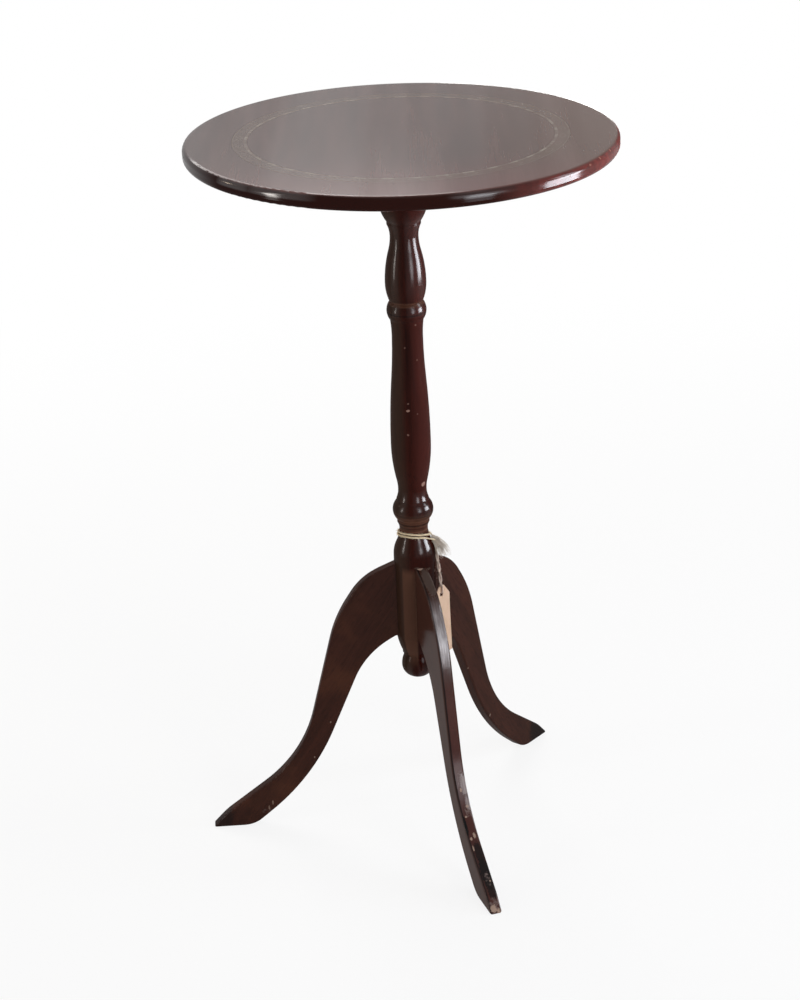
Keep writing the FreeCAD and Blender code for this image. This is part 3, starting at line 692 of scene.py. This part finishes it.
def varnish(shader, weight, roughness, timber):
    # polish lies on the wood as a thin clear coat
    wire(0.0, shader["Specular IOR Level"])
    wire(timber.coat, shader["Coat Roughness"])
    wire(weight, shader["Coat Weight"])
    wire(roughness, shader["Roughness"])


def woodRelief(shader, pores, bare, timber):
    # pores and bared spots lie below the polish
    height = calc("SUBTRACT", times(pores, -timber.poreDepth), bare)
    wire(bump(height, *timber.relief), shader["Normal"])


def surface(shader, colour, roughness, height, relief):
    wire(colour, shader["Base Color"])
    wire(roughness, shader["Roughness"])
    wire(bump(height, *relief), shader["Normal"])


topWood = Values(
    dark=(0.050, 0.0185, 0.0145),
    light=(0.100, 0.046, 0.038),
    pore=(0.024, 0.009, 0.007),
    # warm and red are painted light, tinting the board's right side and its front
    warm=(0.104, 0.041, 0.021),
    red=(0.150, 0.045, 0.037),
    rimDark=(0.022, 0.0035, 0.0018),
    rimRed=(0.200, 0.028, 0.022),
    bare=(0.34, 0.15, 0.11),
    figureRun=(0.35, 0.68),
    grainAngle=-71.7,
    poreShare=0.1,
    poreDepth=0.015,
    relief=(0.3, 0.0003),
    right=(0.949, -0.314, 0.0),
    front=(-0.314, -0.949, 0.0),
    # metres from the middle, then the shares there; the warm and red runs place painted light
    warmRun=(0.02, 0.15, 0.0, 0.75),
    redRun=(0.04, 0.15, 0.0, 0.6),
    rimRun=(0.1496, 0.1514),
    fadedSide=(0.80, -0.60, 0.0),
    fadedRun=(0.095, 0.15),
    fadedShare=0.85,
    patches=(70.0, 4.0, 0.65),
    patchRun=(0.35, 0.62, 0.5, 1.0),
    rubAmount=0.25,
    rubShare=0.3,
    specks={"Density": 130.0, "Share": 0.10, "Size": 0.0009},
    shine=0.22,
    dull=0.38,
    coat=0.13,
    bands=((1.2, 22.0, 1.0), 2.0, 0.5),
    bandRun=(0.3, 0.7, 0.56, 0.70),
    acrossRun=(-0.15, 0.15, 1.06, 0.80),
    nearRun=(0.03, 0.15, 1.0, 1.03),
    rimLacquer=0.12,
    polished=[
        (46.0, 28.0, 0.45), (70.0, 10.0, 0.4), (-78.0, 28.0, 0.55), (150.0, 40.0, 0.4), (-140.0, 40.0, 0.4),
    ],
    # polish kept on the upper rounding only
    rounding=[(-33.0, 13.0, 0.9), (-48.0, 8.0, 0.9), (22.0, 14.0, 0.5)],
    roundingRun=(0.5318, 0.5338),
    knocks=[
        ((103.7, -110.3, 536.5), (1.2, 1.2, 1.4), 0.8),
        ((92.2, -120.5, 535.7), (1.6, 1.4, 0.8), 0.7),
        ((117.3, -95.3, 536.7), (1.0, 1.0, 1.2), 0.8),
        ((72.2, -134.3, 534.1), (0.8, 0.8, 0.8), 0.6),
    ],
)


def topColour(place, flat):
    # polished figure of the board, with painted light: warmer on the right and redder in front
    colour, pores = grained(turnedTo(place, "Z", topWood.grainAngle), topWood)
    paintedWarmth = fade(reachAlong(flat, topWood.right), *topWood.warmRun)
    colour = blend(paintedWarmth, colour, topWood.warm)
    nearness = fade(reachAlong(flat, topWood.front), *topWood.redRun)
    colour = blend(nearness, colour, topWood.red)
    return blend(times(pores, topWood.poreShare), colour, topWood.pore), pores


def lacquerTop(shader, place, flat, rim, bare):
    # lacquer in soft bands across the board, thin on the rim but for a few stretches
    bands = streaks(turnedTo(place, "Z", topWood.grainAngle), *topWood.bands)
    weight = fade(bands, *topWood.bandRun)
    across = fade(reachAlong(flat, topWood.right), *topWood.acrossRun)
    nearness = fade(reachAlong(flat, topWood.front), *topWood.nearRun)
    weight = times(times(weight, across), nearness)
    edge = keptPolish(flat, topWood.rimLacquer, topWood.polished)
    upper = fade(axesOf(place)["Z"], *topWood.roundingRun)
    upper = times(keptPolish(flat, 0.0, topWood.rounding), upper)
    weight = blendValue(rim, weight, most(edge, upper))
    weight = times(weight, inverse(bare))
    varnish(shader, weight, glossOf(place, topWood), topWood)


def makeTopWood():
    material, shader, place = newMaterial("polishedTop")
    _, flat, radius = radiusAt(place)
    colour, pores = topColour(place, flat)
    rim = fade(radius, *topWood.rimRun)
    colour = blend(rim, colour, topWood.rimDark)
    faded = fade(reachAlong(flat, topWood.fadedSide), *topWood.fadedRun)
    patchy = fade(cloud(place, *topWood.patches), *topWood.patchRun)
    faded = times(times(rim, faded), patchy)
    colour = blend(times(faded, topWood.fadedShare), colour, topWood.rimRed)
    amount = times(faded, topWood.rubAmount)
    worn = useGroup(rubbed, Vector=place, Edge=rim, Amount=amount)["Mask"]
    worn = times(worn, topWood.rubShare)
    specks = times(specksOn(place, topWood), rim)
    bare = most(worn, specks, knocks(place, topWood.knocks))
    wire(blend(bare, colour, topWood.bare), shader["Base Color"])
    lacquerTop(shader, place, flat, rim, bare)
    woodRelief(shader, pores, bare, topWood)
    return material


banding = Values(
    line=(0.25, 0.205, 0.165),
    gold=(0.105, 0.060, 0.034),
    motifs=37,
    countFrom=100.0,  # keeps the count of motifs above zero
    wear=(90.0, 4.0, 0.65),
    wearRun=(0.35, 0.6, 0.35, 1.0),
    goldRun=(0.3, 0.7, 0.15, 0.6),
    # radius and half width of each ring
    dashRing=(0.1083, 0.0014),
    lineRing=(0.1173, 0.0007),
    ringCore=0.5,
    lineShare=0.24,
    dash=(0.06, 0.14, 0.52, 0.60),  # along one motif
    dashRun=(0.0, 1.0, 0.35, 1.0),
    # middle and half size of a leaf, by radius and along one motif
    leafAcross=(0.1128, 0.0028),
    leafAlong=(0.33, 0.30),
    leafPower=2.0,
    leafOutline=(0.45, 0.62, 0.8, 1.0),
    leafShare=0.15,
    bareShare=0.2,
    relief=(0.12, 0.0002),
)


def makeBanding():
    material, shader, place = newMaterial("inlaidBanding")
    axes, flat, radius = radiusAt(place)
    turn = times(calc("ARCTAN2", axes["Y"], axes["X"]), banding.motifs / math.tau)
    step = calc("FRACT", calc("ADD", turn, banding.countFrom))
    wear = cloud(place, *banding.wear)

    def apart(value, middle, half):
        return calc("ABSOLUTE", calc("DIVIDE", calc("SUBTRACT", value, middle), half))

    dash = fade(band(step, *banding.dash), *banding.dashRun)
    dashes = times(near(radius, *banding.dashRing, banding.ringCore), dash)
    fineLine = near(radius, *banding.lineRing, banding.ringCore, banding.lineShare)
    # a small leaf between the lines at every motif
    along = calc("POWER", apart(step, *banding.leafAlong), banding.leafPower)
    reach = calc("ADD", apart(radius, *banding.leafAcross), along)
    leaf = times(band(reach, *banding.leafOutline), banding.leafShare)
    pale = times(most(dashes, fineLine, leaf), fade(wear, *banding.wearRun))
    # the board's figure under the banding, with its painted light
    ground, _ = topColour(place, flat)
    ground = blend(fade(wear, *banding.goldRun), ground, banding.gold)
    wire(blend(pale, ground, banding.line), shader["Base Color"])
    rim = fade(radius, *topWood.rimRun)
    lacquerTop(shader, place, flat, rim, times(pale, banding.bareShare))
    wire(bump(pale, *banding.relief), shader["Normal"])
    return material


turnery = Values(
    dark=(0.0110, 0.0017, 0.0009),
    light=(0.036, 0.0056, 0.0029),
    pore=(0.006, 0.0012, 0.0008),
    # red and pale are painted light on the column's right and left sides
    red=(0.094, 0.022, 0.017),
    pale=(0.056, 0.033, 0.022),
    bare=(0.42, 0.25, 0.20),
    glue=(0.13, 0.095, 0.075),
    # brown shows in the neck's turning lines, and as painted light on the block and the upper bead
    brown=(0.105, 0.046, 0.028),
    ring=(0.150, 0.070, 0.045),
    figureRun=(0.35, 0.68),
    grainTilt=90.0,
    poreShare=0.6,
    poreDepth=0.1,
    relief=(0.3, 0.0003),
    glueShare=0.6,
    # sides of the column that carry painted light: bearing, then the half angles of none and full
    redSide=(60.0, 65.0, 10.0),
    redRun=(0.25, 0.29, 0.0, 0.5),
    paleSide=(-66.0, 60.0, 15.0),
    paleShare=0.6,
    neck=(0.2360, 0.2390, 0.2535, 0.2560),
    turning=((12.0, 12.0, 900.0), 2.0, 0.6),
    turningRun=(0.35, 0.65, 0.25, 0.8),
    # heights, side and share of the block's painted reflection
    block=(0.128, 0.140, 0.207, 0.214),
    blockSide=(-19.0, 24.0, 16.0),
    blockShare=0.85,
    specks={"Density": 60.0, "Share": 0.10, "Size": 0.0010},
    bareShare=0.8,
    bareRoughness=0.7,
    shine=0.24,
    dull=0.42,
    coat=0.15,
    lacquer=0.10,
    polished=[
        (46.0, 20.0, 0.40), (18.0, 26.0, 0.30), (-34.0, 18.0, 0.26), (150.0, 40.0, 0.3), (-130.0, 40.0, 0.3),
    ],
    # where the polish is kept, vase and beads: height and half height
    kept=[(0.4520, 0.0370), (0.4125, 0.0060), (0.2620, 0.0110), (0.2290, 0.0090), (0.1180, 0.0160)],
    keptCore=0.6,
    # rings: height, half height and tint; four lines in the neck, and at the upper bead brown as painted
    # light on its upper face and pore as painted shade below it
    rings=[
        (0.2456, 0.0010, "pore"), (0.2489, 0.0009, "ring"), (0.2400, 0.0007, "ring"),
        (0.2537, 0.0010, "pore"), (0.4165, 0.0022, "brown"), (0.4090, 0.0008, "pore"),
    ],
    ringCore=0.4,
    ringShare=0.6,
    # pale knocks on the column
    knocks=[
        ((2.6, -11.6, 401.3), (0.9, 0.9, 0.8), 0.45),
        ((-5.5, -9.9, 384.5), (0.7, 0.7, 0.9), 0.30),
        ((3.0, -11.2, 374.6), (0.8, 0.8, 0.9), 0.25),
        ((-5.4, -12.6, 342.7), (0.9, 0.9, 0.9), 0.35),
        ((-5.6, -12.8, 337.4), (1.5, 1.2, 1.1), 0.9),
        ((1.2, -14.1, 334.5), (0.7, 0.7, 0.7), 0.25),
        ((-6.3, -13.1, 319.0), (0.9, 0.9, 1.0), 0.40),
        ((5.4, -9.7, 277.4), (2.2, 1.8, 2.1), 0.9),
    ],
    # old glue and filler where the front leg meets the block
    gluePlaces=[
        ((-4.9, -14.4, 176.0), (0.6, 1.4, 17.0)),
        ((5.4, -14.2, 211.0), (3.4, 2.0, 1.2), 0.6),
        ((12.9, -8.0, 206.0), (2.0, 2.0, 1.2), 0.6),
        ((-3.0, -14.9, 213.5), (3.0, 2.0, 1.0), 0.6),
    ],
)


def makeTurnedWood():
    material, shader, place = newMaterial("turnedMahogany")
    colour, pores = grained(turnedTo(place, "Y", turnery.grainTilt), turnery)
    colour = blend(times(pores, turnery.poreShare), colour, turnery.pore)
    glue = knocks(place, turnery.gluePlaces)
    colour = blend(times(glue, turnery.glueShare), colour, turnery.glue)
    axes, flat, _ = radiusAt(place)
    height = axes["Z"]
    # painted light: red down the right side, pale brown down the left
    paintedRedLight = times(bearingMask(flat, *turnery.redSide), fade(height, *turnery.redRun))
    colour = blend(paintedRedLight, colour, turnery.red)
    paintedPale = times(bearingMask(flat, *turnery.paleSide), turnery.paleShare)
    colour = blend(paintedPale, colour, turnery.pale)
    # turning lines show brown in the neck above the twine
    turning = fade(streaks(place, *turnery.turning), *turnery.turningRun)
    neck = times(band(height, *turnery.neck), turning)
    colour = blend(neck, colour, turnery.brown)
    # rings of tint, with painted light and shade at the upper bead
    for middle, half, tint in turnery.rings:
        ring = near(height, middle, half, turnery.ringCore, turnery.ringShare)
        colour = blend(ring, colour, getattr(turnery, tint))
    # painted reflection: a lighter brown band down one side of the block
    block = times(band(height, *turnery.block), bearingMask(flat, *turnery.blockSide))
    colour = blend(times(block, turnery.blockShare), colour, turnery.brown)
    bare = most(specksOn(place, turnery), knocks(place, turnery.knocks))
    colour = blend(times(bare, turnery.bareShare), colour, turnery.bare)
    wire(colour, shader["Base Color"])
    zones = [near(height, *zone, turnery.keptCore) for zone in turnery.kept]
    kept = keptPolish(flat, turnery.lacquer, turnery.polished)
    weight = blendValue(most(*zones), turnery.lacquer, kept)
    weight = times(weight, inverse(most(bare, glue)))
    gloss = most(glossOf(place, turnery), times(bare, turnery.bareRoughness))
    varnish(shader, weight, gloss, turnery)
    woodRelief(shader, pores, bare, turnery)
    return material


legWood = Values(
    dark=(0.028, 0.0084, 0.0048),
    light=(0.048, 0.0140, 0.0082),
    pore=(0.008, 0.0025, 0.002),
    warm=(0.092, 0.030, 0.014),
    rub=(0.080, 0.027, 0.023),
    scuff=(0.20, 0.15, 0.135),
    dust=(0.085, 0.060, 0.050),
    # painted sheen: the pale haze on the front leg's sawn edge below the knee
    bloom=(0.200, 0.165, 0.165),
    smear=(0.34, 0.285, 0.275),
    # painted light: the lighter brown of the front leg's left face
    cheek=(0.070, 0.030, 0.022),
    bare=(0.44, 0.31, 0.24),
    black=(0.004, 0.003, 0.003),
    figureRun=(0.35, 0.68),
    grainTilt=56.0,
    poreShare=0.6,
    poreDepth=0.3,
    relief=(0.35, 0.0004),
    patches=(22.0, 3.0, 0.55),
    patchRun=(0.42, 0.72),
    # across the leg from its middle plane, then shares
    arris=(0.0026, 0.0035, 0.00409, 0.00449),
    edgeRun=(0.00419, 0.0030),
    stained=(-0.0046, -0.0042, -0.0034, -0.0024),
    stainedShare=0.8,
    cheekRun=(-0.0036, -0.0044, 0.0, 0.8),
    cheekLacquerRun=(-0.0035, -0.0044),
    # up from the floor, then shares
    wornRun=(0.12, 0.0, 0.02, 0.3),
    rubbedRun=(0.160, 0.120, 0.0, 0.6),
    knee=(0.138, 0.172, 0.188, 0.204),
    # noise and how it shows
    streaks=((70.0, 700.0, 70.0), 3.0, 0.6),
    kneeRun=(0.3, 0.65, 0.5, 1.0),
    kneeShare=0.7,
    smearRun=(0.3, 0.6, 0.45, 1.0),
    grit=(420.0, 4.0, 0.7),
    gritRun=(0.42, 0.66),
    scuffShare=0.75,
    specks={"Density": 70.0, "Share": 0.08, "Size": 0.0009},
    bareShare=0.8,
    bareRoughness=0.75,
    shine=0.30,
    dull=0.52,
    coat=0.19,
    lacquer=0.17,
    cheekLacquer=0.25,  # on the front leg's left face
    kneeLacquer=0.9,  # on the front leg's sawn edge below the knee
    angles={"leg_front": 270.0, "leg_right": 33.6, "leg_left": 165.3},
    faded={"leg_front": 0.3, "leg_right": 0.12, "leg_left": 0.5},  # share of warm, bleached patches
    # wear on each leg, by its own axes: out from the column, across and up
    knocks={
        "leg_front": [
            ((92.3, -0.5, 66.9), (1.6, 1.2, 2.2)),
            ((98.8, 1.7, 55.8), (2.2, 1.4, 1.0)),
            ((103.3, -1.0, 50.0), (1.0, 1.0, 1.0)),
            ((114.0, 1.3, 39.7), (3.0, 1.2, 2.2)),
            ((116.0, -1.7, 38.6), (1.8, 1.2, 1.4)),
            ((121.5, -2.4, 33.5), (3.0, 0.6, 2.4)),
            ((143.7, 2.2, 17.8), (1.2, 0.9, 1.0)),
            ((159.0, -1.2, 4.0), (3.0, 2.8, 3.4)),
            ((160.0, 2.2, 1.5), (2.8, 1.6, 2.4)),
            ((15.7, -1.3, 213.1), (2.6, 2.6, 1.0)),
        ],
        "leg_right": [
            ((57.1, -3.6, 101.5), (0.8, 1.2, 1.1), 0.5),
            ((84.0, -4.3, 49.0), (1.0, 1.0, 1.3), 0.5),
        ],
        "leg_left": [
            ((68.3, 4.5, 84.9), (0.7, 1.0, 1.0), 0.45),
            ((81.7, 4.5, 55.8), (0.7, 1.0, 1.0), 0.45),
            ((131.2, -2.1, 27.0), (1.2, 1.0, 1.0), 0.5),
            ((115.5, 4.5, 18.5), (0.7, 1.0, 2.2), 0.45),
            ((118.5, 4.5, 14.5), (0.7, 1.0, 2.2), 0.45),
        ],
    },
    scuffs={
        "leg_front": [
            ((89.0, 1.0, 72.0), (7.0, 3.2, 11.0), 0.5),
            ((101.0, 1.4, 53.5), (6.0, 2.4, 6.0)),
            ((142.0, 1.0, 19.0), (8.0, 2.2, 5.0)),
            ((157.0, 0.0, 6.0), (6.0, 4.0, 7.0)),
        ],
        "leg_right": [((150.0, 0.0, 11.0), (9.0, 4.0, 6.0))],
        "leg_left": [
            ((120.0, 4.5, 12.0), (5.0, 1.2, 2.6), 0.35),
            ((150.0, 0.0, 12.0), (12.0, 4.0, 6.0), 0.35),
        ],
    },
    dusty=[((28.0, 1.0, 207.0), (18.0, 4.8, 12.0), 0.85)],
    smears=[
        ((90.0, 2.2, 69.0), (6.0, 2.6, 12.0), 0.75),
        ((97.5, 2.8, 57.5), (5.0, 2.2, 7.5), 0.75),
    ],
    blackened={
        "leg_front": [
            ((138.0, 0.8, 21.2), (20.0, 4.8, 15.0), 0.95),
            ((149.0, 1.4, 13.5), (9.0, 4.2, 8.0), 0.8),
            ((124.5, 0.8, 31.2), (10.5, 4.0, 8.5), 0.85),
            ((108.0, -3.0, 45.0), (9.0, 1.2, 10.0)),
        ],
        "leg_right": [((151.0, 0.0, 10.0), (16.0, 16.0, 20.0), 0.8)],
        "leg_left": [((156.0, 0.0, 8.0), (12.0, 16.0, 16.0), 0.6)],
    },
)


def frontLegWear(local, axes, aside, colour):
    # sawn edge rubbed red, black polish left along the arris
    edgeFace = fade(aside, *legWood.edgeRun)
    rubbedRun = times(edgeFace, fade(axes["Z"], *legWood.rubbedRun))
    colour = blend(rubbedRun, colour, legWood.rub)
    stained = times(band(axes["Y"], *legWood.stained), legWood.stainedShare)
    colour = blend(stained, colour, legWood.black)
    colour = blend(knocks(local, legWood.dusty), colour, legWood.dust)
    # painted light on the front leg's left face
    colour = blend(fade(axes["Y"], *legWood.cheekRun), colour, legWood.cheek)
    # clouded polish below the knee, and a painted sheen on the sawn edge there
    lines = streaks(local, *legWood.streaks)
    smeared = times(knocks(local, legWood.smears), fade(lines, *legWood.smearRun))
    colour = blend(smeared, colour, legWood.smear)
    knee = times(band(axes["Z"], *legWood.knee), fade(lines, *legWood.kneeRun))
    knee = times(knee, edgeFace)
    return blend(times(knee, legWood.kneeShare), colour, legWood.bloom), knee


def makeLegWood(name):
    material, shader, place = newMaterial("sawnMahogany" + name.removeprefix("leg_").title())
    local = turnedTo(place, "Z", -legWood.angles[name])
    colour, pores = grained(turnedTo(local, "Y", -legWood.grainTilt), legWood)
    patches = cloud(local, *legWood.patches)
    faded = fade(patches, *legWood.patchRun, 0.0, legWood.faded[name])
    colour = blend(faded, colour, legWood.warm)
    colour = blend(times(pores, legWood.poreShare), colour, legWood.pore)
    axes = axesOf(local)
    aside = calc("ABSOLUTE", axes["Y"])
    arris = band(aside, *legWood.arris)
    amount = fade(axes["Z"], *legWood.wornRun)
    worn = useGroup(rubbed, Vector=local, Edge=arris, Amount=amount)["Mask"]
    colour = blend(worn, colour, legWood.rub)
    weight = legWood.lacquer
    if name == "leg_front":
        colour, knee = frontLegWear(local, axes, aside, colour)
        weight = fade(axes["Y"], *legWood.cheekLacquerRun, weight, legWood.cheekLacquer)
        weight = most(weight, times(knee, legWood.kneeLacquer))
    colour = blend(knocks(local, legWood.blackened[name]), colour, legWood.black)
    grit = fade(cloud(local, *legWood.grit), *legWood.gritRun)
    dulled = times(knocks(local, legWood.scuffs[name]), grit)
    colour = blend(times(dulled, legWood.scuffShare), colour, legWood.scuff)
    bare = most(specksOn(place, legWood), knocks(local, legWood.knocks[name]))
    colour = blend(times(bare, legWood.bareShare), colour, legWood.bare)
    wire(colour, shader["Base Color"])
    spoilt = most(bare, dulled)
    weight = times(weight, inverse(spoilt))
    gloss = most(glossOf(place, legWood), times(spoilt, legWood.bareRoughness))
    varnish(shader, weight, gloss, legWood)
    woodRelief(shader, pores, bare, legWood)
    return material


hiddenWood = Values(
    dark=(0.15, 0.085, 0.045),
    light=(0.30, 0.19, 0.11),
    pore=(0.09, 0.05, 0.03),
    grime=(0.05, 0.032, 0.022),
    figureRun=(0.3, 0.7),
    dirt=(30.0, 4.0, 0.6),
    dirtRun=(0.45, 0.7, 0.0, 0.7),
    shine=0.6,
    dull=0.85,
    relief=(0.3, -0.0004),
)


def makeHiddenWood():
    material, shader, place = newMaterial("bareTimber")
    colour, pores = grained(place, hiddenWood)
    colour = blend(pores, colour, hiddenWood.pore)
    dirt = fade(cloud(place, *hiddenWood.dirt), *hiddenWood.dirtRun)
    colour = blend(dirt, colour, hiddenWood.grime)
    surface(shader, colour, glossOf(place, hiddenWood), pores, hiddenWood.relief)
    return material


screwSteel = Values(
    bright=(0.34, 0.33, 0.32),
    rust=(0.11, 0.055, 0.03),
    spots=(900.0, 4.0, 0.65),
    spotRun=(0.45, 0.62),
    metalRun=(0.0, 1.0, 0.95, 0.25),
    roughRun=(0.0, 1.0, 0.34, 0.8),
    relief=(0.3, 0.0002),
)


def makeScrewSteel():
    material, shader, place = newMaterial("oldScrewSteel")
    spots = fade(cloud(place, *screwSteel.spots), *screwSteel.spotRun)
    colour = blend(spots, screwSteel.bright, screwSteel.rust)
    wire(fade(spots, *screwSteel.metalRun), shader["Metallic"])
    surface(shader, colour, fade(spots, *screwSteel.roughRun), spots, screwSteel.relief)
    return material


jute = Values(
    # pale and deep tint of each piece of the one twine; the drop's and the frayed tail's are raised as
    # painted light, offsetting their shading
    tints={
        "windingTwine": ((0.90, 0.77, 0.54), (0.70, 0.55, 0.35)),
        "knotTwine": ((0.70, 0.58, 0.46), (0.48, 0.38, 0.29)),
        "dropTwine": ((0.80, 0.64, 0.55), (0.56, 0.42, 0.34)),
        "frayedTail": ((0.78, 0.69, 0.59), (0.60, 0.51, 0.42)),
    },
    fibres=(2600.0, 3.0, 0.6),
    fibreRun=(0.35, 0.65),
    soil=(160.0, 2.0, 0.5),
    soilRun=(0.5, 0.75, 0.0, 0.5),
    roughRun=(0.3, 0.7, 0.75, 0.95),
    specular=0.25,
    sheen=0.25,
    sheenRoughness=0.5,
    relief=(0.4, 0.0002),
)


def makeTwineFibre(name):
    pale, deep = jute.tints[name]
    material, shader, place = newMaterial(name + "Jute")
    fibres = cloud(place, *jute.fibres)
    soiled = cloud(place, *jute.soil)
    colour = blend(fade(fibres, *jute.fibreRun), deep, pale)
    colour = blend(fade(soiled, *jute.soilRun), colour, deep)
    wire(jute.specular, shader["Specular IOR Level"])
    wire(jute.sheen, shader["Sheen Weight"])
    wire(jute.sheenRoughness, shader["Sheen Roughness"])
    surface(shader, colour, fade(fibres, *jute.roughRun), fibres, jute.relief)
    return material


tagCard = Values(
    buff=(0.57, 0.375, 0.255),
    pale=(0.64, 0.44, 0.31),
    fleck=(0.42, 0.26, 0.17),
    stains=(70.0, 3.0, 0.6),
    stainRun=(0.35, 0.65),
    flecks=(1500.0, 3.0, 0.6),
    fleckRun=(0.6, 0.75, 0.0, 0.35),
    roughRun=(0.3, 0.7, 0.72, 0.9),
    specular=0.25,
    relief=(0.2, 0.0001),
)


def makeTagCard():
    material, shader, place = newMaterial("buffCard")
    flecks = cloud(place, *tagCard.flecks)
    stains = cloud(place, *tagCard.stains)
    colour = blend(fade(stains, *tagCard.stainRun), tagCard.buff, tagCard.pale)
    colour = blend(fade(flecks, *tagCard.fleckRun), colour, tagCard.fleck)
    wire(tagCard.specular, shader["Specular IOR Level"])
    surface(shader, colour, fade(flecks, *tagCard.roughRun), flecks, tagCard.relief)
    return material


def dress(piece, material):
    if not piece.material_slots:
        piece.data.materials.append(material)
    for slot in piece.material_slots:
        slot.material = material


turned = makeTurnedWood()
hidden = makeHiddenWood()
dress(nodes["top_panel"], makeTopWood())
dress(nodes["inlay_banding"], makeBanding())
dress(nodes["column"], turned)
dress(nodes["pendant"], turned)
for name in legWood.angles:
    dress(nodes[name], makeLegWood(name))
dress(nodes["top_cleat"], hidden)
dress(nodes["pendant_dowel"], hidden)
dress(nodes["cleat_screws"], makeScrewSteel())
for piece in (windingTwine, knotTwine, dropTwine, frayedTail):
    dress(piece, makeTwineFibre(piece.name))
dress(stringTag, makeTagCard())
print("materials given")


# soft studio lights, placed round the camera's own heading
tints = {
    "sky": (0.88, 0.93, 1.0),
    "day": (0.92, 0.95, 1.0),
    "lamp": (1.0, 0.95, 0.9),
    "amber": (1.0, 0.8, 0.6),
    "plain": (1.0, 0.98, 0.96),
}
# bearing, distance, height, size, watts and tint
lights = {
    "window": (90, 1.45, 0.80, (0.34, 1.2), 11.0, "sky"),
    "windowCard": (85, 1.0, 0.40, (0.42, 0.40), 16.0, "sky"),
    "frontWindow": (37, 1.6, 0.95, (0.8, 1.3), 8.5, "day"),
    "frontCore": (37, 1.59, 0.92, (0.25, 0.5), 3.0, "day"),
    "frontCard": (37, 1.2, 0.40, (0.30, 0.40), 4.5, "day"),
    "leftLamp": (-67, 1.6, 0.80, (0.16, 0.8), 3.4, "lamp"),
    "leftCard": (-67, 1.2, 0.40, (0.14, 0.40), 3.0, "lamp"),
    "warmLamp": (-99, 1.9, 1.0, (0.1, 0.1), 1.3, "amber"),
    "backFill": (195, 1.3, 1.5, (1.0, 1.0), 15.0, "plain"),
    "backCard": (170, 1.2, 0.40, (0.30, 0.40), 4.5, "plain"),
    "overhead": (20, 0.45, 2.4, (1.6, 1.6), 5.0, "plain"),
}
onlyReflected = ("windowCard", "frontCard", "leftCard", "backCard")
uprightBelow = 1.0  # lights lower than this stand upright, the rest are aimed
aim = Vector((0, 0, 0.3))


def placeLight(name, bearing, distance, height, size, watts, tint):
    data = bpy.data.lights.new(name, "AREA")
    data.shape = "RECTANGLE"
    data.size, data.size_y = size
    data.energy = watts
    data.color = tints[tint]
    turn = math.radians(camera.heading + bearing)
    out = Vector((math.sin(turn), -math.cos(turn), 0)) * distance
    lamp = addObject(name, data)
    lamp.location = (out.x, out.y, height)
    facing = out if height < uprightBelow else lamp.location - aim
    lamp.rotation_euler = facing.to_track_quat("Z", "Y").to_euler()
    lamp.visible_diffuse = name not in onlyReflected


for name, setting in lights.items():
    placeLight(name, *setting)

white = (1.0, 1.0, 1.0, 1.0)
studio = Values(
    ambient=0.25,
    floorColour=(0.86, 0.86, 0.86, 1.0),
    floorRoughness=0.9,
    floorGlow=(0.85, 1.0),  # share of the seen floor that is plain white: near, far
    shadowReach=(0.45, 1.3),
    floorSize=9.0,
)


def seenRays(tree):
    path = tree.nodes.new("ShaderNodeLightPath").outputs
    return most(path["Is Camera Ray"], path["Is Glossy Ray"], path["Is Transmission Ray"])


def mixShaders(share, under, over, socket):
    wire(addNode("MixShader", {0: share, 1: under, 2: over}).outputs[0], socket)


def lightWorld():
    world = bpy.data.worlds.new("studio")
    scene.world = world
    world.use_nodes = True
    tree = world.node_tree
    tree.nodes.clear()
    soft = addNode("Background", {"Color": white, "Strength": studio.ambient}, tree).outputs[0]
    seen = addNode("Background", {"Color": white, "Strength": 1.0}, tree).outputs[0]
    output = tree.nodes.new("ShaderNodeOutputWorld")
    mixShaders(seenRays(tree), soft, seen, output.inputs["Surface"])


def layFloor():
    form = bmesh.new()
    bmesh.ops.create_grid(form, x_segments=1, y_segments=1, size=studio.floorSize)
    floor = formToPiece("studioFloor", form)
    material, shader, place = newMaterial("paleFloor")
    tree = material.node_tree
    plain = tree.links[0]  # from the shader to the surface
    matt, shown = plain.from_socket, plain.to_socket
    wire(studio.floorColour, shader["Base Color"])
    wire(studio.floorRoughness, shader["Roughness"])
    wire(0.0, shader["Specular IOR Level"])
    glow = addNode("Emission", {"Color": white, "Strength": 1.0}, tree).outputs[0]
    share = fade(vectorCalc("LENGTH", place), *studio.shadowReach, *studio.floorGlow)
    mixShaders(times(seenRays(tree), share), matt, glow, shown)
    floor.data.materials.append(material)


lightWorld()
layFloor()
print("lights and floor set")
